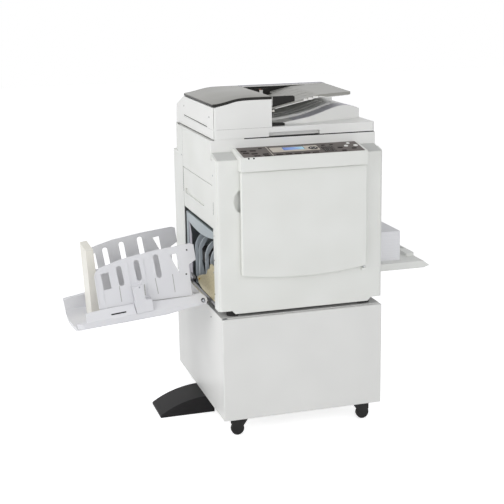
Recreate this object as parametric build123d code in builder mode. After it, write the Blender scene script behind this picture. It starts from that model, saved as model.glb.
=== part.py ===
"""A digital duplicator on its cabinet: stand, machine body, scanner, document feeder and the two paper trays.

Millimetres, +Z up, +Y to the back, +X to the feed side. The floor is at z = 0 and the origin is under the
middle of the whole footprint. Sketches are drawn in machine coordinates, whose x = 0 is the cabinet's middle.
"""
import os
from math import atan2, cos, radians, sin, tan

from build123d import *

os.makedirs("parts", exist_ok=True)

# Clearances
slide_gap = 0.3
fit_gap = 0.05

# Stand
cabinet_width = 625.0
cabinet_front = -355.0
cabinet_back = 384.0
cabinet_bottom = 70.5
cabinet_top = 467.0
cabinet_sheet = 2.0
cabinet_flange = 22.0
door_board = 20.0
door_reveal = 2.0
wheel_radius = 25.0
wheel_width = 19.0
caster_inset = 60.5
caster_x = cabinet_width / 2 - caster_inset
caster_front_y = -313.0
caster_back_y = 340.0
caster_trail = 18.0
kingpin_radius = 6.0
axle_radius = 4.0
foot_reach = 493.0
foot_inner = 275.0
foot_front = -65.0
foot_back = 97.0

# Machine body
body_left = -318.0
body_right = 318.0
body_front = -338.0
body_back = 342.0
body_bottom = 493.0
side_seam = -285.0
rear_seam = 172.0
cover_wall = 3.0
wing_front_top = 1046.0
wing_back_top = 1066.0
wing_half = 237.0
base_height = 12.0
base_wall = 3.0
plate_thickness = 3.0
front_plate_y = -266.0
rear_plate_y = 163.0
plate_half = 308.0
paper_middle = -46.0
paper_width = 297.0

# Front door and operation panel
door_left = -234.0
door_right = 249.0
door_top = 1005.0
door_corner = 624.0
door_sag = 20.0
door_face = -358.0
door_skin = 4.0
panel_left = -237.0
panel_right = 240.0
panel_bottom = 1008.3
panel_front = -377.0
panel_back = -279.0
panel_front_top = 1061.0
panel_back_top = 1079.0
overlay = 1.5

# Drum, cylinder and rolls
drum_radius = 88.0
drum_x = 10.0
drum_z = 842.0
journal_radius = 10.0
master_radius = 42.0
master_x = 214.0
master_z = 925.0
pickup_radius = 16.0

# Side openings and side door
opening_bottom = 505.0
opening_top = 782.0
side_door_top = 949.0
side_door_depth = 18.0

# Scanner
scanner_front = -261.0
scanner_back = 322.0
scanner_bottom = 1012.0
scanner_top = 1108.0
glass_left = -215.0
glass_right = 225.0
glass_front = -205.0
glass_back = 110.0
glass_thickness = 3.0
rail_radius = 4.0
carriage_height = 30.0

# Document feeder
lid_left = -305.0
lid_right = 316.0
lid_bottom = 1112.0
lid_top = 1146.0
lid_back = 318.0
feeder_right = -85.0
feeder_back = 188.0
cover_thickness = 10.0
deck_back = 308.0
deck_back_top = 1184.0
rail_front = 146.0
rail_right = 268.0
rail_top = 1257.0

# Delivery side
tray_x = -359.0
tray_z = 521.0
tray_tilt = 9.0
tray_length = 477.0
tray_pin_x = -349.0
tray_pin_z = 510.5
tray_arm = 6.0
fence_spacing = 300.0
fence_thickness = 3.0
fence_height = 207.0
tray_rim = 32.0
tray_half_depth = fence_spacing / 2 + tray_rim

# Feed side
feed_end = 537.0
feed_lip = 26.0
feed_inner = 240.0
feed_half_depth = 194.0
feed_top = 588.0
feed_depth = 28.0
stack_height = 116.0
stack_end = 456.0
stack_length = 210.0

tray_run = tray_length * cos(radians(tray_tilt))
delivery_reach = -tray_x + tray_run + 2.0
feed_reach = feed_end + feed_lip
machine_x = (delivery_reach - feed_reach) / 2


def level(z):
    """Horizontal plane at height z, sketched in x and y."""
    return Plane(origin=(machine_x, 0, z))


def facing(y):
    """Upright plane at depth y, sketched in x and z; it extrudes towards the front."""
    return Plane(origin=(machine_x, y, 0), x_dir=(1, 0, 0), z_dir=(0, -1, 0))


def across(x):
    """Upright plane at width x, sketched in y and z; it extrudes to the right."""
    return Plane(origin=(machine_x + x, 0, 0), x_dir=(0, 1, 0), z_dir=(1, 0, 0))


def save(part, label):
    """Name a finished piece and write it."""
    part.label = label
    export_step(part, f"parts/{label}.step")


def block(x0, x1, y0, y1, z0, z1, mode=Mode.ADD):
    """A plain block between two corners, given in machine coordinates."""
    with BuildSketch(level(z0)) as outline:
        with Locations(((x0 + x1) / 2, (y0 + y1) / 2)):
            Rectangle(x1 - x0, y1 - y0)
    extrude(outline.sketch, amount=z1 - z0, mode=mode)


def bar_y(x, z, radius, y0, y1, mode=Mode.ADD):
    """A round bar or bore that runs front to back."""
    with BuildSketch(facing(y1)) as outline:
        with Locations((x, z)):
            Circle(radius)
    extrude(outline.sketch, amount=y1 - y0, mode=mode)


def bar_z(x, y, radius, z0, z1, mode=Mode.ADD):
    """A round bar or bore that stands upright."""
    with BuildSketch(level(z0)) as outline:
        with Locations((x, y)):
            Circle(radius)
    extrude(outline.sketch, amount=z1 - z0, mode=mode)


def bar_x(y, z, radius, x0, x1, mode=Mode.ADD):
    """A round bar or bore that runs left to right."""
    with BuildSketch(across(x0)) as outline:
        with Locations((y, z)):
            Circle(radius)
    extrude(outline.sketch, amount=x1 - x0, mode=mode)


# Cabinet: a steel box that is open at the front, with a turned-in flange round the opening
half_width = cabinet_width / 2
shell_half = half_width - door_reveal
shell_front = cabinet_front + door_board + 1.0
with BuildPart() as cabinet_shell:
    block(-shell_half, shell_half, shell_front, cabinet_back, cabinet_bottom, cabinet_top)
    fillet(cabinet_shell.edges().filter_by(Axis.Z).group_by(Axis.Y)[-1], 6)
    block(
        -shell_half + cabinet_sheet,
        shell_half - cabinet_sheet,
        shell_front + cabinet_sheet,
        cabinet_back - cabinet_sheet,
        cabinet_bottom + cabinet_sheet,
        cabinet_top - cabinet_sheet,
        Mode.SUBTRACT,
    )
    block(
        -shell_half + cabinet_flange,
        shell_half - cabinet_flange,
        shell_front,
        shell_front + cabinet_sheet,
        cabinet_bottom + cabinet_flange,
        cabinet_top - cabinet_flange,
        Mode.SUBTRACT,
    )
save(cabinet_shell.part, "cabinet_shell")

# Cabinet door: a folded pan with rounded front edges, hung on pins near its left edge
cabinet_pin_inset = 8.0
cabinet_pin_x = -half_width + cabinet_pin_inset
cabinet_pin_y = cabinet_front + door_board - cabinet_pin_inset
cabinet_pin_radius = 3.0
door_low = cabinet_bottom + door_reveal
door_high = cabinet_top - door_reveal
with BuildPart() as cabinet_door:
    block(-half_width, half_width, cabinet_front, cabinet_front + door_board, door_low, door_high)
    uprights = cabinet_door.edges().filter_by(Axis.Z)
    fillet(uprights.group_by(Axis.Y)[-1].sort_by(Axis.X)[0], cabinet_pin_inset - 0.3)
    fillet(cabinet_door.faces().sort_by(Axis.Y)[0].edges(), 4)
    block(
        -half_width + 2 * cabinet_pin_inset,
        half_width - cabinet_sheet,
        cabinet_front + cabinet_sheet,
        cabinet_front + door_board,
        door_low + cabinet_sheet,
        door_high - cabinet_sheet,
        Mode.SUBTRACT,
    )
    bar_z(
        cabinet_pin_x,
        cabinet_pin_y,
        cabinet_pin_radius + fit_gap,
        door_low,
        door_high,
        Mode.SUBTRACT,
    )
save(cabinet_door.part, "cabinet_door")

# Casters: a plate with its kingpin on the cabinet, a fork that swivels on the pin, and a wheel
plate_height = 2.5
plate_under = cabinet_bottom - plate_height
kingpin_foot = 50.0
caster_spots = {
    "front_left": (-1, caster_front_y),
    "front_right": (1, caster_front_y),
    "rear_left": (-1, caster_back_y),
    "rear_right": (1, caster_back_y),
}
kingpin_x = caster_x - caster_trail
with BuildPart() as caster_plates:
    for side, y in caster_spots.values():
        block(
            side * kingpin_x - 30,
            side * kingpin_x + 30,
            y - 24,
            y + 24,
            plate_under,
            cabinet_bottom,
        )
        bar_z(side * kingpin_x, y, kingpin_radius, kingpin_foot, plate_under)
        bar_z(side * kingpin_x, y, kingpin_radius + 2, kingpin_foot, kingpin_foot + 3)
save(caster_plates.part, "caster_plates")

fork_cheek = 4.0
fork_inner = wheel_width / 2 + 1.0
fork_top = plate_under - slide_gap
fork_under = kingpin_foot + 3 + slide_gap
for spot, (side, y) in caster_spots.items():
    wheel_x = side * caster_x
    with BuildPart() as caster_fork:
        for face_y in (y - fork_inner, y + fork_inner + fork_cheek):
            with BuildSketch(facing(face_y)):
                with BuildLine():
                    Polyline(
                        (side * (kingpin_x - 18), fork_top),
                        (side * (caster_x + 22), fork_top),
                        (side * (caster_x + 22), fork_top - 26),
                        (side * (caster_x + 9), wheel_radius - 4),
                        (side * (caster_x - 9), wheel_radius - 4),
                        (side * (kingpin_x - 18), fork_top - 9),
                        close=True,
                    )
                make_face()
            extrude(amount=fork_cheek)
        bar_z(side * kingpin_x, y, fork_inner + fork_cheek, fork_under, fork_top)
        block(
            min(side * kingpin_x, side * (kingpin_x + 12)),
            max(side * kingpin_x, side * (kingpin_x + 12)),
            y - fork_inner - fork_cheek,
            y + fork_inner + fork_cheek,
            fork_under,
            fork_top,
        )
        bar_y(wheel_x, wheel_radius, axle_radius, y - fork_inner, y + fork_inner)
        bar_z(
            side * kingpin_x,
            y,
            kingpin_radius + fit_gap,
            fork_under,
            fork_top,
            Mode.SUBTRACT,
        )
    save(caster_fork.part, f"caster_fork_{spot}")

    with BuildPart() as caster_wheel:
        bar_y(wheel_x, wheel_radius, wheel_radius, y - wheel_width / 2, y + wheel_width / 2)
        fillet(caster_wheel.edges().filter_by(GeomType.CIRCLE), 3)
        bar_y(
            wheel_x,
            wheel_radius,
            axle_radius + fit_gap,
            y - wheel_width / 2,
            y + wheel_width / 2,
            Mode.SUBTRACT,
        )
    save(caster_wheel.part, f"caster_wheel_{spot}")

# Stabiliser foot: a long black toe under the delivery side, arched on top
foot_head = plate_under
with BuildPart() as stabiliser_foot:
    with BuildSketch(facing(foot_back)):
        with BuildLine():
            Polyline(
                (-foot_reach, 9),
                (-foot_reach, 0),
                (-foot_inner, 0),
                (-foot_inner, foot_head),
                (-foot_reach + 183, foot_head),
            )
            ThreePointArc(
                (-foot_reach + 183, foot_head),
                (-foot_reach + 92, foot_head - 16),
                (-foot_reach, 9),
            )
        make_face()
    extrude(amount=foot_back - foot_front)
    long_tops = stabiliser_foot.edges().filter_by(GeomType.CIRCLE)
    fillet(long_tops, 4)
    block(
        -foot_inner - 30,
        -foot_inner,
        foot_front + 50,
        foot_back - 50,
        foot_head,
        cabinet_bottom,
    )
save(stabiliser_foot.part, "stabiliser_foot")

# Rubber feet between the cabinet and the machine
body_foot_radius = 23.0
with BuildPart() as body_feet:
    for x in (-258, 258):
        for y in (-298, 304):
            with BuildSketch(level(cabinet_top)):
                with Locations((x, y)):
                    Circle(body_foot_radius)
            extrude(amount=body_bottom - cabinet_top, taper=6)
save(body_feet.part, "body_feet")

# Base frame: a shallow steel pan with two arms for the delivery tray
base_half = plate_half + 4.0
base_front = body_front + 8.0
base_back = body_back - 8.0
base_top = body_bottom + base_height
tray_front = paper_middle - tray_half_depth
tray_back = paper_middle + tray_half_depth
arm_spots = (paper_middle - 143, paper_middle + 137)
tray_rod = 4.0
with BuildPart() as base_frame:
    block(-base_half, base_half, base_front, base_back, body_bottom, base_top)
    block(
        -base_half + base_wall,
        base_half - base_wall,
        base_front + base_wall,
        base_back - base_wall,
        body_bottom + base_wall,
        base_top,
        Mode.SUBTRACT,
    )
    for y in arm_spots:
        with BuildSketch(facing(y + tray_arm)):
            with BuildLine():
                Polyline(
                    (-base_half, body_bottom),
                    (-base_half, base_top),
                    (tray_pin_x + 2, tray_pin_z + 9),
                    (tray_pin_x - 9, tray_pin_z + 3),
                    (tray_pin_x - 7, tray_pin_z - 9),
                    close=True,
                )
            make_face()
        extrude(amount=tray_arm)
        bar_y(tray_pin_x, tray_pin_z, tray_rod + fit_gap, y, y + tray_arm, Mode.SUBTRACT)
save(base_frame.part, "base_frame")

# Side plates: they carry the drum, the cylinder, the master roll, the pick-up shaft and the side door's rod
cylinder_z = drum_z - 2 * drum_radius - 0.4
pickup_x = stack_end - stack_length + 18
pickup_z = feed_top + stack_height + pickup_radius + slide_gap
pickup_shaft = 5.0
side_rod_x = body_left + 17
side_rod_z = opening_top + 11
side_rod = 3.0
side_door_swing = 21.0
bearing_spots = (
    (drum_x, drum_z, journal_radius),
    (drum_x, cylinder_z, journal_radius),
    (master_x, master_z, journal_radius),
    (pickup_x, pickup_z, pickup_shaft),
    (side_rod_x, side_rod_z, side_rod),
)


def side_plate(y):
    """One upright plate with every bearing bore, scalloped round the side door's rod lug."""
    back = y + plate_thickness
    block(-plate_half, plate_half, y, back, base_top, scanner_bottom)
    bar_y(side_rod_x, side_rod_z, side_door_swing, y, back, Mode.SUBTRACT)
    bar_y(side_rod_x, side_rod_z, 11, y, back)
    block(side_rod_x, side_rod_x + side_door_swing + 3, y, back, side_rod_z, side_rod_z + 11)
    for x, z, radius in bearing_spots:
        bar_y(x, z, radius + fit_gap, y, y + plate_thickness, Mode.SUBTRACT)


plate_inner_front = front_plate_y + plate_thickness
plate_inner_back = rear_plate_y
with BuildPart() as front_side_plate:
    side_plate(front_plate_y)
    block(
        -plate_half,
        -plate_half + plate_thickness,
        front_plate_y + plate_thickness,
        front_plate_y + 100,
        base_top + 5,
        base_top + 135,
    )
    flange_corner = front_side_plate.edges().filter_by(Axis.X).group_by(Axis.Y)[-1]
    fillet(flange_corner.sort_by(Axis.Z)[-1], 38)
    block(
        panel_left - 1,
        panel_right + 1,
        front_plate_y,
        plate_inner_front,
        panel_bottom - 2,
        scanner_bottom,
        Mode.SUBTRACT,
    )
save(front_side_plate.part, "front_side_plate")

with BuildPart() as rear_side_plate:
    side_plate(rear_plate_y)
save(rear_side_plate.part, "rear_side_plate")


def journal_pair(x, z, radius):
    """Stub shafts at both ends, long enough to run through the side plates."""
    bar_y(x, z, radius, front_plate_y - 6, plate_inner_front + 1)
    bar_y(x, z, radius, plate_inner_back - 1, rear_plate_y + plate_thickness + 6)


# Print drum: a perforated shell with spoked ends
drum_front = plate_inner_front + 1
drum_back = plate_inner_back - 1
drum_wall = 3.0
drum_end = 5.0
with BuildPart() as print_drum:
    bar_y(drum_x, drum_z, drum_radius, drum_front, drum_back)
    bar_y(
        drum_x,
        drum_z,
        drum_radius - drum_wall,
        drum_front + drum_end,
        drum_back - drum_end,
        Mode.SUBTRACT,
    )
    with BuildSketch(facing(drum_front)):
        with Locations((drum_x, drum_z)):
            with PolarLocations(drum_radius * 0.58, 6):
                Circle(drum_radius * 0.2)
    extrude(amount=drum_front - drum_back, mode=Mode.SUBTRACT)
    journal_pair(drum_x, drum_z, journal_radius)
save(print_drum.part, "print_drum")

# Pressure cylinder under the drum
with BuildPart() as pressure_cylinder:
    bar_y(drum_x, cylinder_z, drum_radius, drum_front, drum_back)
    bar_y(
        drum_x,
        cylinder_z,
        drum_radius - drum_wall,
        drum_front + drum_end,
        drum_back - drum_end,
        Mode.SUBTRACT,
    )
    with BuildSketch(facing(drum_front)):
        with Locations((drum_x, cylinder_z)):
            with PolarLocations(drum_radius * 0.58, 4):
                Circle(drum_radius * 0.16)
    extrude(amount=drum_front - drum_back, mode=Mode.SUBTRACT)
    journal_pair(drum_x, cylinder_z, journal_radius)
save(pressure_cylinder.part, "pressure_cylinder")

# Master roll on its spindle
with BuildPart() as master_roll:
    bar_y(
        master_x,
        master_z,
        master_radius,
        paper_middle - paper_width / 2 - 8,
        paper_middle + paper_width / 2 + 8,
    )
    bar_y(master_x, master_z, journal_radius, plate_inner_front + 1, plate_inner_back - 1)
    journal_pair(master_x, master_z, journal_radius)
save(master_roll.part, "master_roll")

# Pick-up shaft with its rubber rollers over the stack
with BuildPart() as pickup_roller:
    bar_y(
        pickup_x,
        pickup_z,
        pickup_shaft,
        front_plate_y - 4,
        rear_plate_y + plate_thickness + 4,
    )
    for middle in (paper_middle - 60, paper_middle, paper_middle + 60):
        bar_y(pickup_x, pickup_z, pickup_radius, middle - 16, middle + 16)
save(pickup_roller.part, "pickup_roller")

# Delivery: a folded bracket across the top of the opening, guide plates and the belt unit
bracket_x = body_left + 6
bracket_top = side_rod_z - 20
bracket_front = side_seam + 24
bracket_back = rear_plate_y - slide_gap
with BuildPart() as delivery_bracket:
    with BuildSketch(across(bracket_x)):
        with BuildLine():
            Polyline(
                (bracket_back - 28, bracket_top - 34),
                (bracket_back - 28, bracket_top - 150),
                (bracket_back, bracket_top - 150),
                (bracket_back, bracket_top),
                (bracket_front, bracket_top),
                (bracket_front, bracket_top - 24),
            )
            ThreePointArc(
                (bracket_front, bracket_top - 24),
                (paper_middle, bracket_top - 46),
                (bracket_back - 28, bracket_top - 34),
            )
        make_face()
    extrude(amount=2.5)
    block(
        bracket_x + 2.5,
        bracket_x + 12,
        bracket_back - 2.5,
        bracket_back,
        bracket_top - 150,
        bracket_top,
    )
save(delivery_bracket.part, "delivery_bracket")

belt_left = body_left + 30
belt_right = drum_x - drum_radius - 6
belt_front = paper_middle - 110
belt_back = paper_middle + 110
belt_top = 668.0
with BuildPart() as delivery_belt_unit:
    with BuildSketch(facing(belt_back)):
        with BuildLine():
            Polyline(
                (belt_left, belt_top - 26),
                (belt_left, belt_top - 66),
                (belt_right - 34, belt_top - 66),
                (belt_right, belt_top - 20),
                (belt_right, belt_top + 6),
                close=True,
            )
        make_face()
    extrude(amount=belt_back - belt_front)
    for x, z in ((belt_left + 40, belt_top - 46), (belt_right - 40, belt_top - 34)):
        bar_y(x, z, 5, plate_inner_front, plate_inner_back)
save(delivery_belt_unit.part, "delivery_belt_unit")

with BuildPart() as delivery_guides:
    for y in (paper_middle - 118, paper_middle - 40, paper_middle + 60, paper_middle + 118):
        with BuildSketch(facing(y + 6)):
            with BuildLine():
                Polyline(
                    (belt_left + 18, base_top - 9),
                    (belt_left - 12, base_top - 9),
                    (belt_left - 12, belt_top - 40),
                )
                ThreePointArc(
                    (belt_left - 12, belt_top - 40),
                    (belt_left - 4, belt_top + 6),
                    (belt_left + 16, belt_top + 30),
                )
                Polyline(
                    (belt_left + 16, belt_top + 30),
                    (belt_left + 26, belt_top + 22),
                    (belt_left - 0.5, belt_top - 20),
                    (belt_left - 0.5, belt_top - 70),
                    (belt_left + 18, base_top - 9),
                )
            make_face()
        extrude(amount=6)
save(delivery_guides.part, "delivery_guides")

# Front cover: two wing shelves, an opening behind the door and a finger recess
front_outer_left = body_left - 2
front_outer_right = body_right + 1
front_wall = 4.0
cover_gap = 0.4
recess_middle = 896.0
recess_radius = 47.0
recess_depth = 12.0
pin_tab_z = 606.0
front_pin_x = door_right - 8.5
front_pin_y = body_front - 8.8
with BuildPart() as front_cover:
    with BuildSketch(level(body_bottom)):
        Polygon(
            (front_outer_left, body_front),
            (front_outer_right, body_front),
            (front_outer_right, side_seam - cover_gap),
            (body_right - cover_wall - cover_gap, side_seam - cover_gap),
            (body_right - cover_wall - cover_gap, scanner_front - cover_gap),
            (body_left + cover_wall + cover_gap, scanner_front - cover_gap),
            (body_left + cover_wall + cover_gap, side_seam - cover_gap),
            (front_outer_left, side_seam - cover_gap),
            align=None,
        )
    extrude(amount=wing_back_top - body_bottom)
    front_uprights = front_cover.edges().filter_by(Axis.Z).group_by(Axis.Y)[0]
    fillet(front_uprights, 14)
    with BuildSketch(across(front_outer_left)):
        Polygon(
            (body_front, wing_front_top),
            (body_front, wing_back_top),
            (scanner_front - cover_gap, wing_back_top),
            align=None,
        )
    extrude(amount=front_outer_right - front_outer_left, mode=Mode.SUBTRACT)
    block(
        front_outer_left + front_wall,
        front_outer_right - front_wall,
        body_front + front_wall,
        scanner_front,
        body_bottom,
        wing_front_top - front_wall,
        Mode.SUBTRACT,
    )
    block(
        panel_left - slide_gap,
        panel_right + slide_gap,
        body_front,
        scanner_front,
        panel_bottom - slide_gap,
        wing_back_top,
        Mode.SUBTRACT,
    )
    block(
        door_left + 22,
        door_right - 22,
        body_front,
        body_front + front_wall,
        door_corner + 16,
        door_top - 20,
        Mode.SUBTRACT,
    )
    block(
        door_left - 24,
        door_left + 22,
        body_front + front_wall,
        body_front + recess_depth + 4,
        recess_middle - recess_radius - 4,
        recess_middle + recess_radius + 4,
    )
    bar_y(
        door_left + 24,
        recess_middle,
        recess_radius,
        body_front,
        body_front + recess_depth,
        Mode.SUBTRACT,
    )
    block(door_left - 33, door_right + 22, body_front, body_front + front_wall, body_bottom - 13, body_bottom)
    lip = front_cover.edges().filter_by(Axis.Y).group_by(Axis.Z)[0]
    chamfer(lip, 10)
    block(
        front_pin_x - 8,
        front_pin_x + 8,
        front_pin_y - 8,
        body_front,
        pin_tab_z,
        pin_tab_z + 8,
    )
save(front_cover.part, "front_cover")

# Front door: a bowed-bottom shell, solid along its hinge edge
door_back = body_front - slide_gap
door_middle = (door_left + door_right) / 2
with BuildPart() as front_door:
    with BuildSketch(facing(door_back)) as door_outline:
        with BuildLine():
            Polyline(
                (door_left, door_corner),
                (door_left, door_top),
                (door_right, door_top),
                (door_right, door_corner),
            )
            ThreePointArc(
                (door_right, door_corner),
                (door_middle, door_corner - door_sag),
                (door_left, door_corner),
            )
        make_face()
        fillet(door_outline.vertices().group_by(Axis.Z)[0], 8)
    extrude(amount=door_back - door_face)
    door_uprights = front_door.edges().filter_by(Axis.Z)
    fillet(door_uprights.group_by(Axis.Y)[-1].sort_by(Axis.X)[-1], 8.2)
    front_edges = front_door.faces().sort_by(Axis.Y)[0].edges()
    fillet(front_edges, 6)
    with BuildSketch(facing(door_back)):
        with BuildLine():
            Polyline(
                (door_left + door_skin, door_corner + door_skin + 4),
                (door_left + door_skin, door_top - door_skin),
                (door_right - 20, door_top - door_skin),
                (door_right - 20, door_corner + door_skin + 4),
            )
            ThreePointArc(
                (door_right - 20, door_corner + door_skin + 4),
                (door_middle, door_corner - door_sag + door_skin + 1),
                (door_left + door_skin, door_corner + door_skin + 4),
            )
        make_face()
    extrude(amount=door_back - door_face - door_skin, mode=Mode.SUBTRACT)
    bar_z(front_pin_x, front_pin_y, side_rod + fit_gap, door_corner - 12, door_top, Mode.SUBTRACT)
save(front_door.part, "front_door")

# Operation panel housing with a sloped top that takes the dark overlay
panel_slope = atan2(panel_back_top - panel_front_top, panel_back - panel_front)
panel_y = (panel_front + panel_back) / 2
panel_z = (panel_front_top + panel_back_top) / 2
panel_normal = (0, -sin(panel_slope), cos(panel_slope))
panel_plane = Plane(origin=(machine_x, panel_y, panel_z), x_dir=(1, 0, 0), z_dir=panel_normal)
panel_half = (panel_back - panel_front) / cos(panel_slope) / 2
overlay_drop = overlay / cos(panel_slope)
key_spots = {
    "start_key": (215, 5, 8.5),
    "stop_key": (178, 6, 7.5),
    "proof_key": (195, 33, 6.5),
}
key_gap = 0.5
key_wall = 3.0
number_columns = 3
number_rows = 4
number_key = (12.0, 8.0)
number_pitch = (15.5, 14.0)
number_middle = (103.0, -15.0)
cursor_middle = (50.0, 5.0)
cursor_size = (36.0, 30.0)
display_left = -62.0
display_right = 18.0
display_low = 0.0
display_high = 30.0


def number_pads(extra):
    """The grid of number keys, each one wider by extra on every side."""
    with Locations(number_middle):
        with GridLocations(*number_pitch, number_columns, number_rows):
            RectangleRounded(number_key[0] + 2 * extra, number_key[1] + 2 * extra, 2)


def key_wells(depth_from, depth_to):
    """Cut the wells of all keys through the panel between two depths under its face."""
    with BuildSketch(panel_plane.offset(-depth_from)) as wells:
        for x, v, radius in key_spots.values():
            with Locations((x, v)):
                Circle(radius + key_gap)
        number_pads(key_gap)
        with Locations(cursor_middle):
            Ellipse(cursor_size[0] / 2 + key_gap, cursor_size[1] / 2 + key_gap)
    extrude(wells.sketch, amount=depth_from - depth_to, mode=Mode.SUBTRACT)


with BuildPart() as panel_housing:
    with BuildSketch(across(panel_left)):
        Polygon(
            (scanner_front - cover_gap, panel_bottom),
            (scanner_front - cover_gap, panel_back_top - overlay_drop),
            (panel_back, panel_back_top - overlay_drop),
            (panel_front, panel_front_top - overlay_drop),
            (panel_front - 3, panel_front_top - 6),
            (panel_front - 1, panel_bottom),
            align=None,
        )
    extrude(amount=panel_right - panel_left)
    with BuildSketch(across(panel_left + 4)):
        Polygon(
            (scanner_front - 5, panel_bottom + 3),
            (scanner_front - 5, panel_back_top - overlay_drop - key_wall),
            (panel_back, panel_back_top - overlay_drop - key_wall),
            (panel_front + 3, panel_front_top - overlay_drop - key_wall + 3 * tan(panel_slope)),
            (panel_front + 3, panel_bottom + 3),
            align=None,
        )
    extrude(amount=panel_right - panel_left - 8, mode=Mode.SUBTRACT)
    block(
        panel_left + 30,
        panel_right - 30,
        body_front + 12,
        scanner_front - 12,
        panel_bottom,
        panel_bottom + 3,
        Mode.SUBTRACT,
    )
    key_wells(overlay - 1, overlay + key_wall + 4)
save(panel_housing.part, "panel_housing")

with BuildPart() as panel_face:
    with BuildSketch(panel_plane.offset(-overlay)):
        with Locations(((panel_left + panel_right) / 2, 0)):
            Rectangle(panel_right - panel_left - 21, 2 * panel_half - 0.6)
        with Locations(((display_left + display_right) / 2, (display_low + display_high) / 2)):
            Rectangle(
                display_right - display_left,
                display_high - display_low,
                mode=Mode.SUBTRACT,
            )
    extrude(amount=overlay)
    key_wells(-1, overlay + 1)
save(panel_face.part, "panel_face")

with BuildPart() as lcd_display:
    with BuildSketch(panel_plane.offset(-overlay)):
        with Locations(((display_left + display_right) / 2, (display_low + display_high) / 2)):
            Rectangle(
                display_right - display_left - 2 * slide_gap,
                display_high - display_low - 2 * slide_gap,
            )
    extrude(amount=overlay - 0.4)
save(lcd_display.part, "lcd_display")

# Keys: caps that stand over the face, each with a collar under the housing's skin
key_rise = 2.2
collar_top = overlay + key_wall + slide_gap
for label, (x, v, radius) in key_spots.items():
    with BuildPart() as key:
        with BuildSketch(panel_plane.offset(-collar_top - 2)):
            with Locations((x, v)):
                Circle(radius)
        extrude(amount=collar_top + 2 + key_rise)
        fillet(key.edges().filter_by(GeomType.CIRCLE).group_by(Axis.Z)[-1], 1.2)
        with BuildSketch(panel_plane.offset(-collar_top - 2)):
            with Locations((x, v)):
                Circle(radius + 1.2)
        extrude(amount=2)
    save(key.part, label)

with BuildPart() as number_keys:
    with BuildSketch(panel_plane.offset(-collar_top - 2)):
        number_pads(0)
    extrude(amount=collar_top + 2 + 1.0)
    with BuildSketch(panel_plane.offset(-collar_top - 2)):
        with Locations(number_middle):
            Rectangle(
                number_pitch[0] * (number_columns - 1) + number_key[0] + 2,
                number_pitch[1] * (number_rows - 1) + number_key[1] + 2,
            )
    extrude(amount=2)
save(number_keys.part, "number_keys")

with BuildPart() as cursor_pad:
    with BuildSketch(panel_plane.offset(-collar_top - 2)):
        with Locations(cursor_middle):
            Ellipse(cursor_size[0] / 2, cursor_size[1] / 2)
    extrude(amount=collar_top + 2 + 1.2)
    with BuildSketch(panel_plane.offset(-collar_top - 2)):
        with Locations(cursor_middle):
            Ellipse(cursor_size[0] / 2 + 1.2, cursor_size[1] / 2 + 1.2)
    extrude(amount=2)
save(cursor_pad.part, "cursor_pad")

# Left cover above the side door
scanner_cover_top = scanner_top + 0.5
with BuildPart() as left_cover:
    with BuildSketch(across(body_left)):
        Polygon(
            (side_seam, side_door_top + 2),
            (rear_seam, side_door_top + 2),
            (rear_seam, scanner_cover_top),
            (scanner_front + 4.3, scanner_cover_top),
            (scanner_front + 4.3, wing_front_top - 6),
            (side_seam, wing_front_top - 6),
            align=None,
        )
    extrude(amount=cover_wall)
save(left_cover.part, "left_cover")

# Side door over the master-eject box: it swings down and out on a rod
side_door_front = side_seam + 2
side_door_back = rear_seam - 4
side_door_bottom = opening_top + 2
side_barrel = 7.0
grip_front = paper_middle - 110
grip_back = paper_middle + 188
grip_z = 860.0
with BuildPart() as master_eject_door:
    with BuildSketch(facing(side_door_back)) as side_profile:
        Polygon(
            (body_left, side_door_bottom + 9),
            (body_left, side_door_top),
            (body_left + side_door_depth, side_door_top),
            (body_left + side_door_depth, side_door_top - cover_wall),
            (body_left + cover_wall, side_door_top - cover_wall),
            (body_left + cover_wall, side_door_bottom + 14),
            (side_rod_x, side_door_bottom + 14),
            (side_rod_x, side_door_bottom + 4),
            (body_left + 7, side_door_bottom + 2),
            align=None,
        )
    extrude(amount=side_door_back - side_door_front)
    block(
        body_left + cover_wall,
        body_left + 9,
        grip_front - 6,
        grip_back + 6,
        grip_z - 15,
        grip_z + 15,
    )
    with BuildSketch(across(body_left + 6)):
        with Locations(((grip_front + grip_back) / 2, grip_z)):
            SlotOverall(grip_back - grip_front, 20)
    extrude(amount=-6, mode=Mode.SUBTRACT)
    bar_y(side_rod_x, side_rod_z, side_barrel, plate_inner_front + 1, plate_inner_back - 1)
    bar_y(
        side_rod_x,
        side_rod_z,
        side_rod + fit_gap,
        side_door_front,
        side_door_back,
        Mode.SUBTRACT,
    )
    for y0, y1 in ((side_door_front, plate_inner_front + 1), (plate_inner_back - 1, side_door_back)):
        block(
            body_left + cover_wall,
            body_left + side_door_depth + 12,
            y0,
            y1,
            side_door_bottom,
            side_door_top,
            Mode.SUBTRACT,
        )
save(master_eject_door.part, "master_eject_door")

# Right cover with the feed opening
feed_front = paper_middle - feed_half_depth
feed_back = paper_middle + feed_half_depth
feed_open_gap = 0.8
with BuildPart() as right_cover:
    with BuildSketch(across(body_right - cover_wall)):
        Polygon(
            (side_seam, base_top),
            (rear_seam, base_top),
            (rear_seam, scanner_cover_top),
            (scanner_front + 4.3, scanner_cover_top),
            (scanner_front + 4.3, wing_front_top - 6),
            (side_seam, wing_front_top - 6),
            align=None,
        )
    extrude(amount=cover_wall)
    block(
        body_right - cover_wall,
        body_right,
        feed_front - feed_open_gap,
        feed_back + feed_open_gap,
        base_top + 6,
        feed_top + stack_height + 62,
        Mode.SUBTRACT,
    )
save(right_cover.part, "right_cover")

# Rear cover: a U-shaped shell with cooling slots, drawn in at its left corner beside the scanner
rear_shoulder = 1000.0
rear_front = rear_seam + cover_gap
corner_start = 238.0
corner_left = body_left + 12.0
upper_back = scanner_back + 4.0
vent_columns = 2
vent_rows = 9


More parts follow.
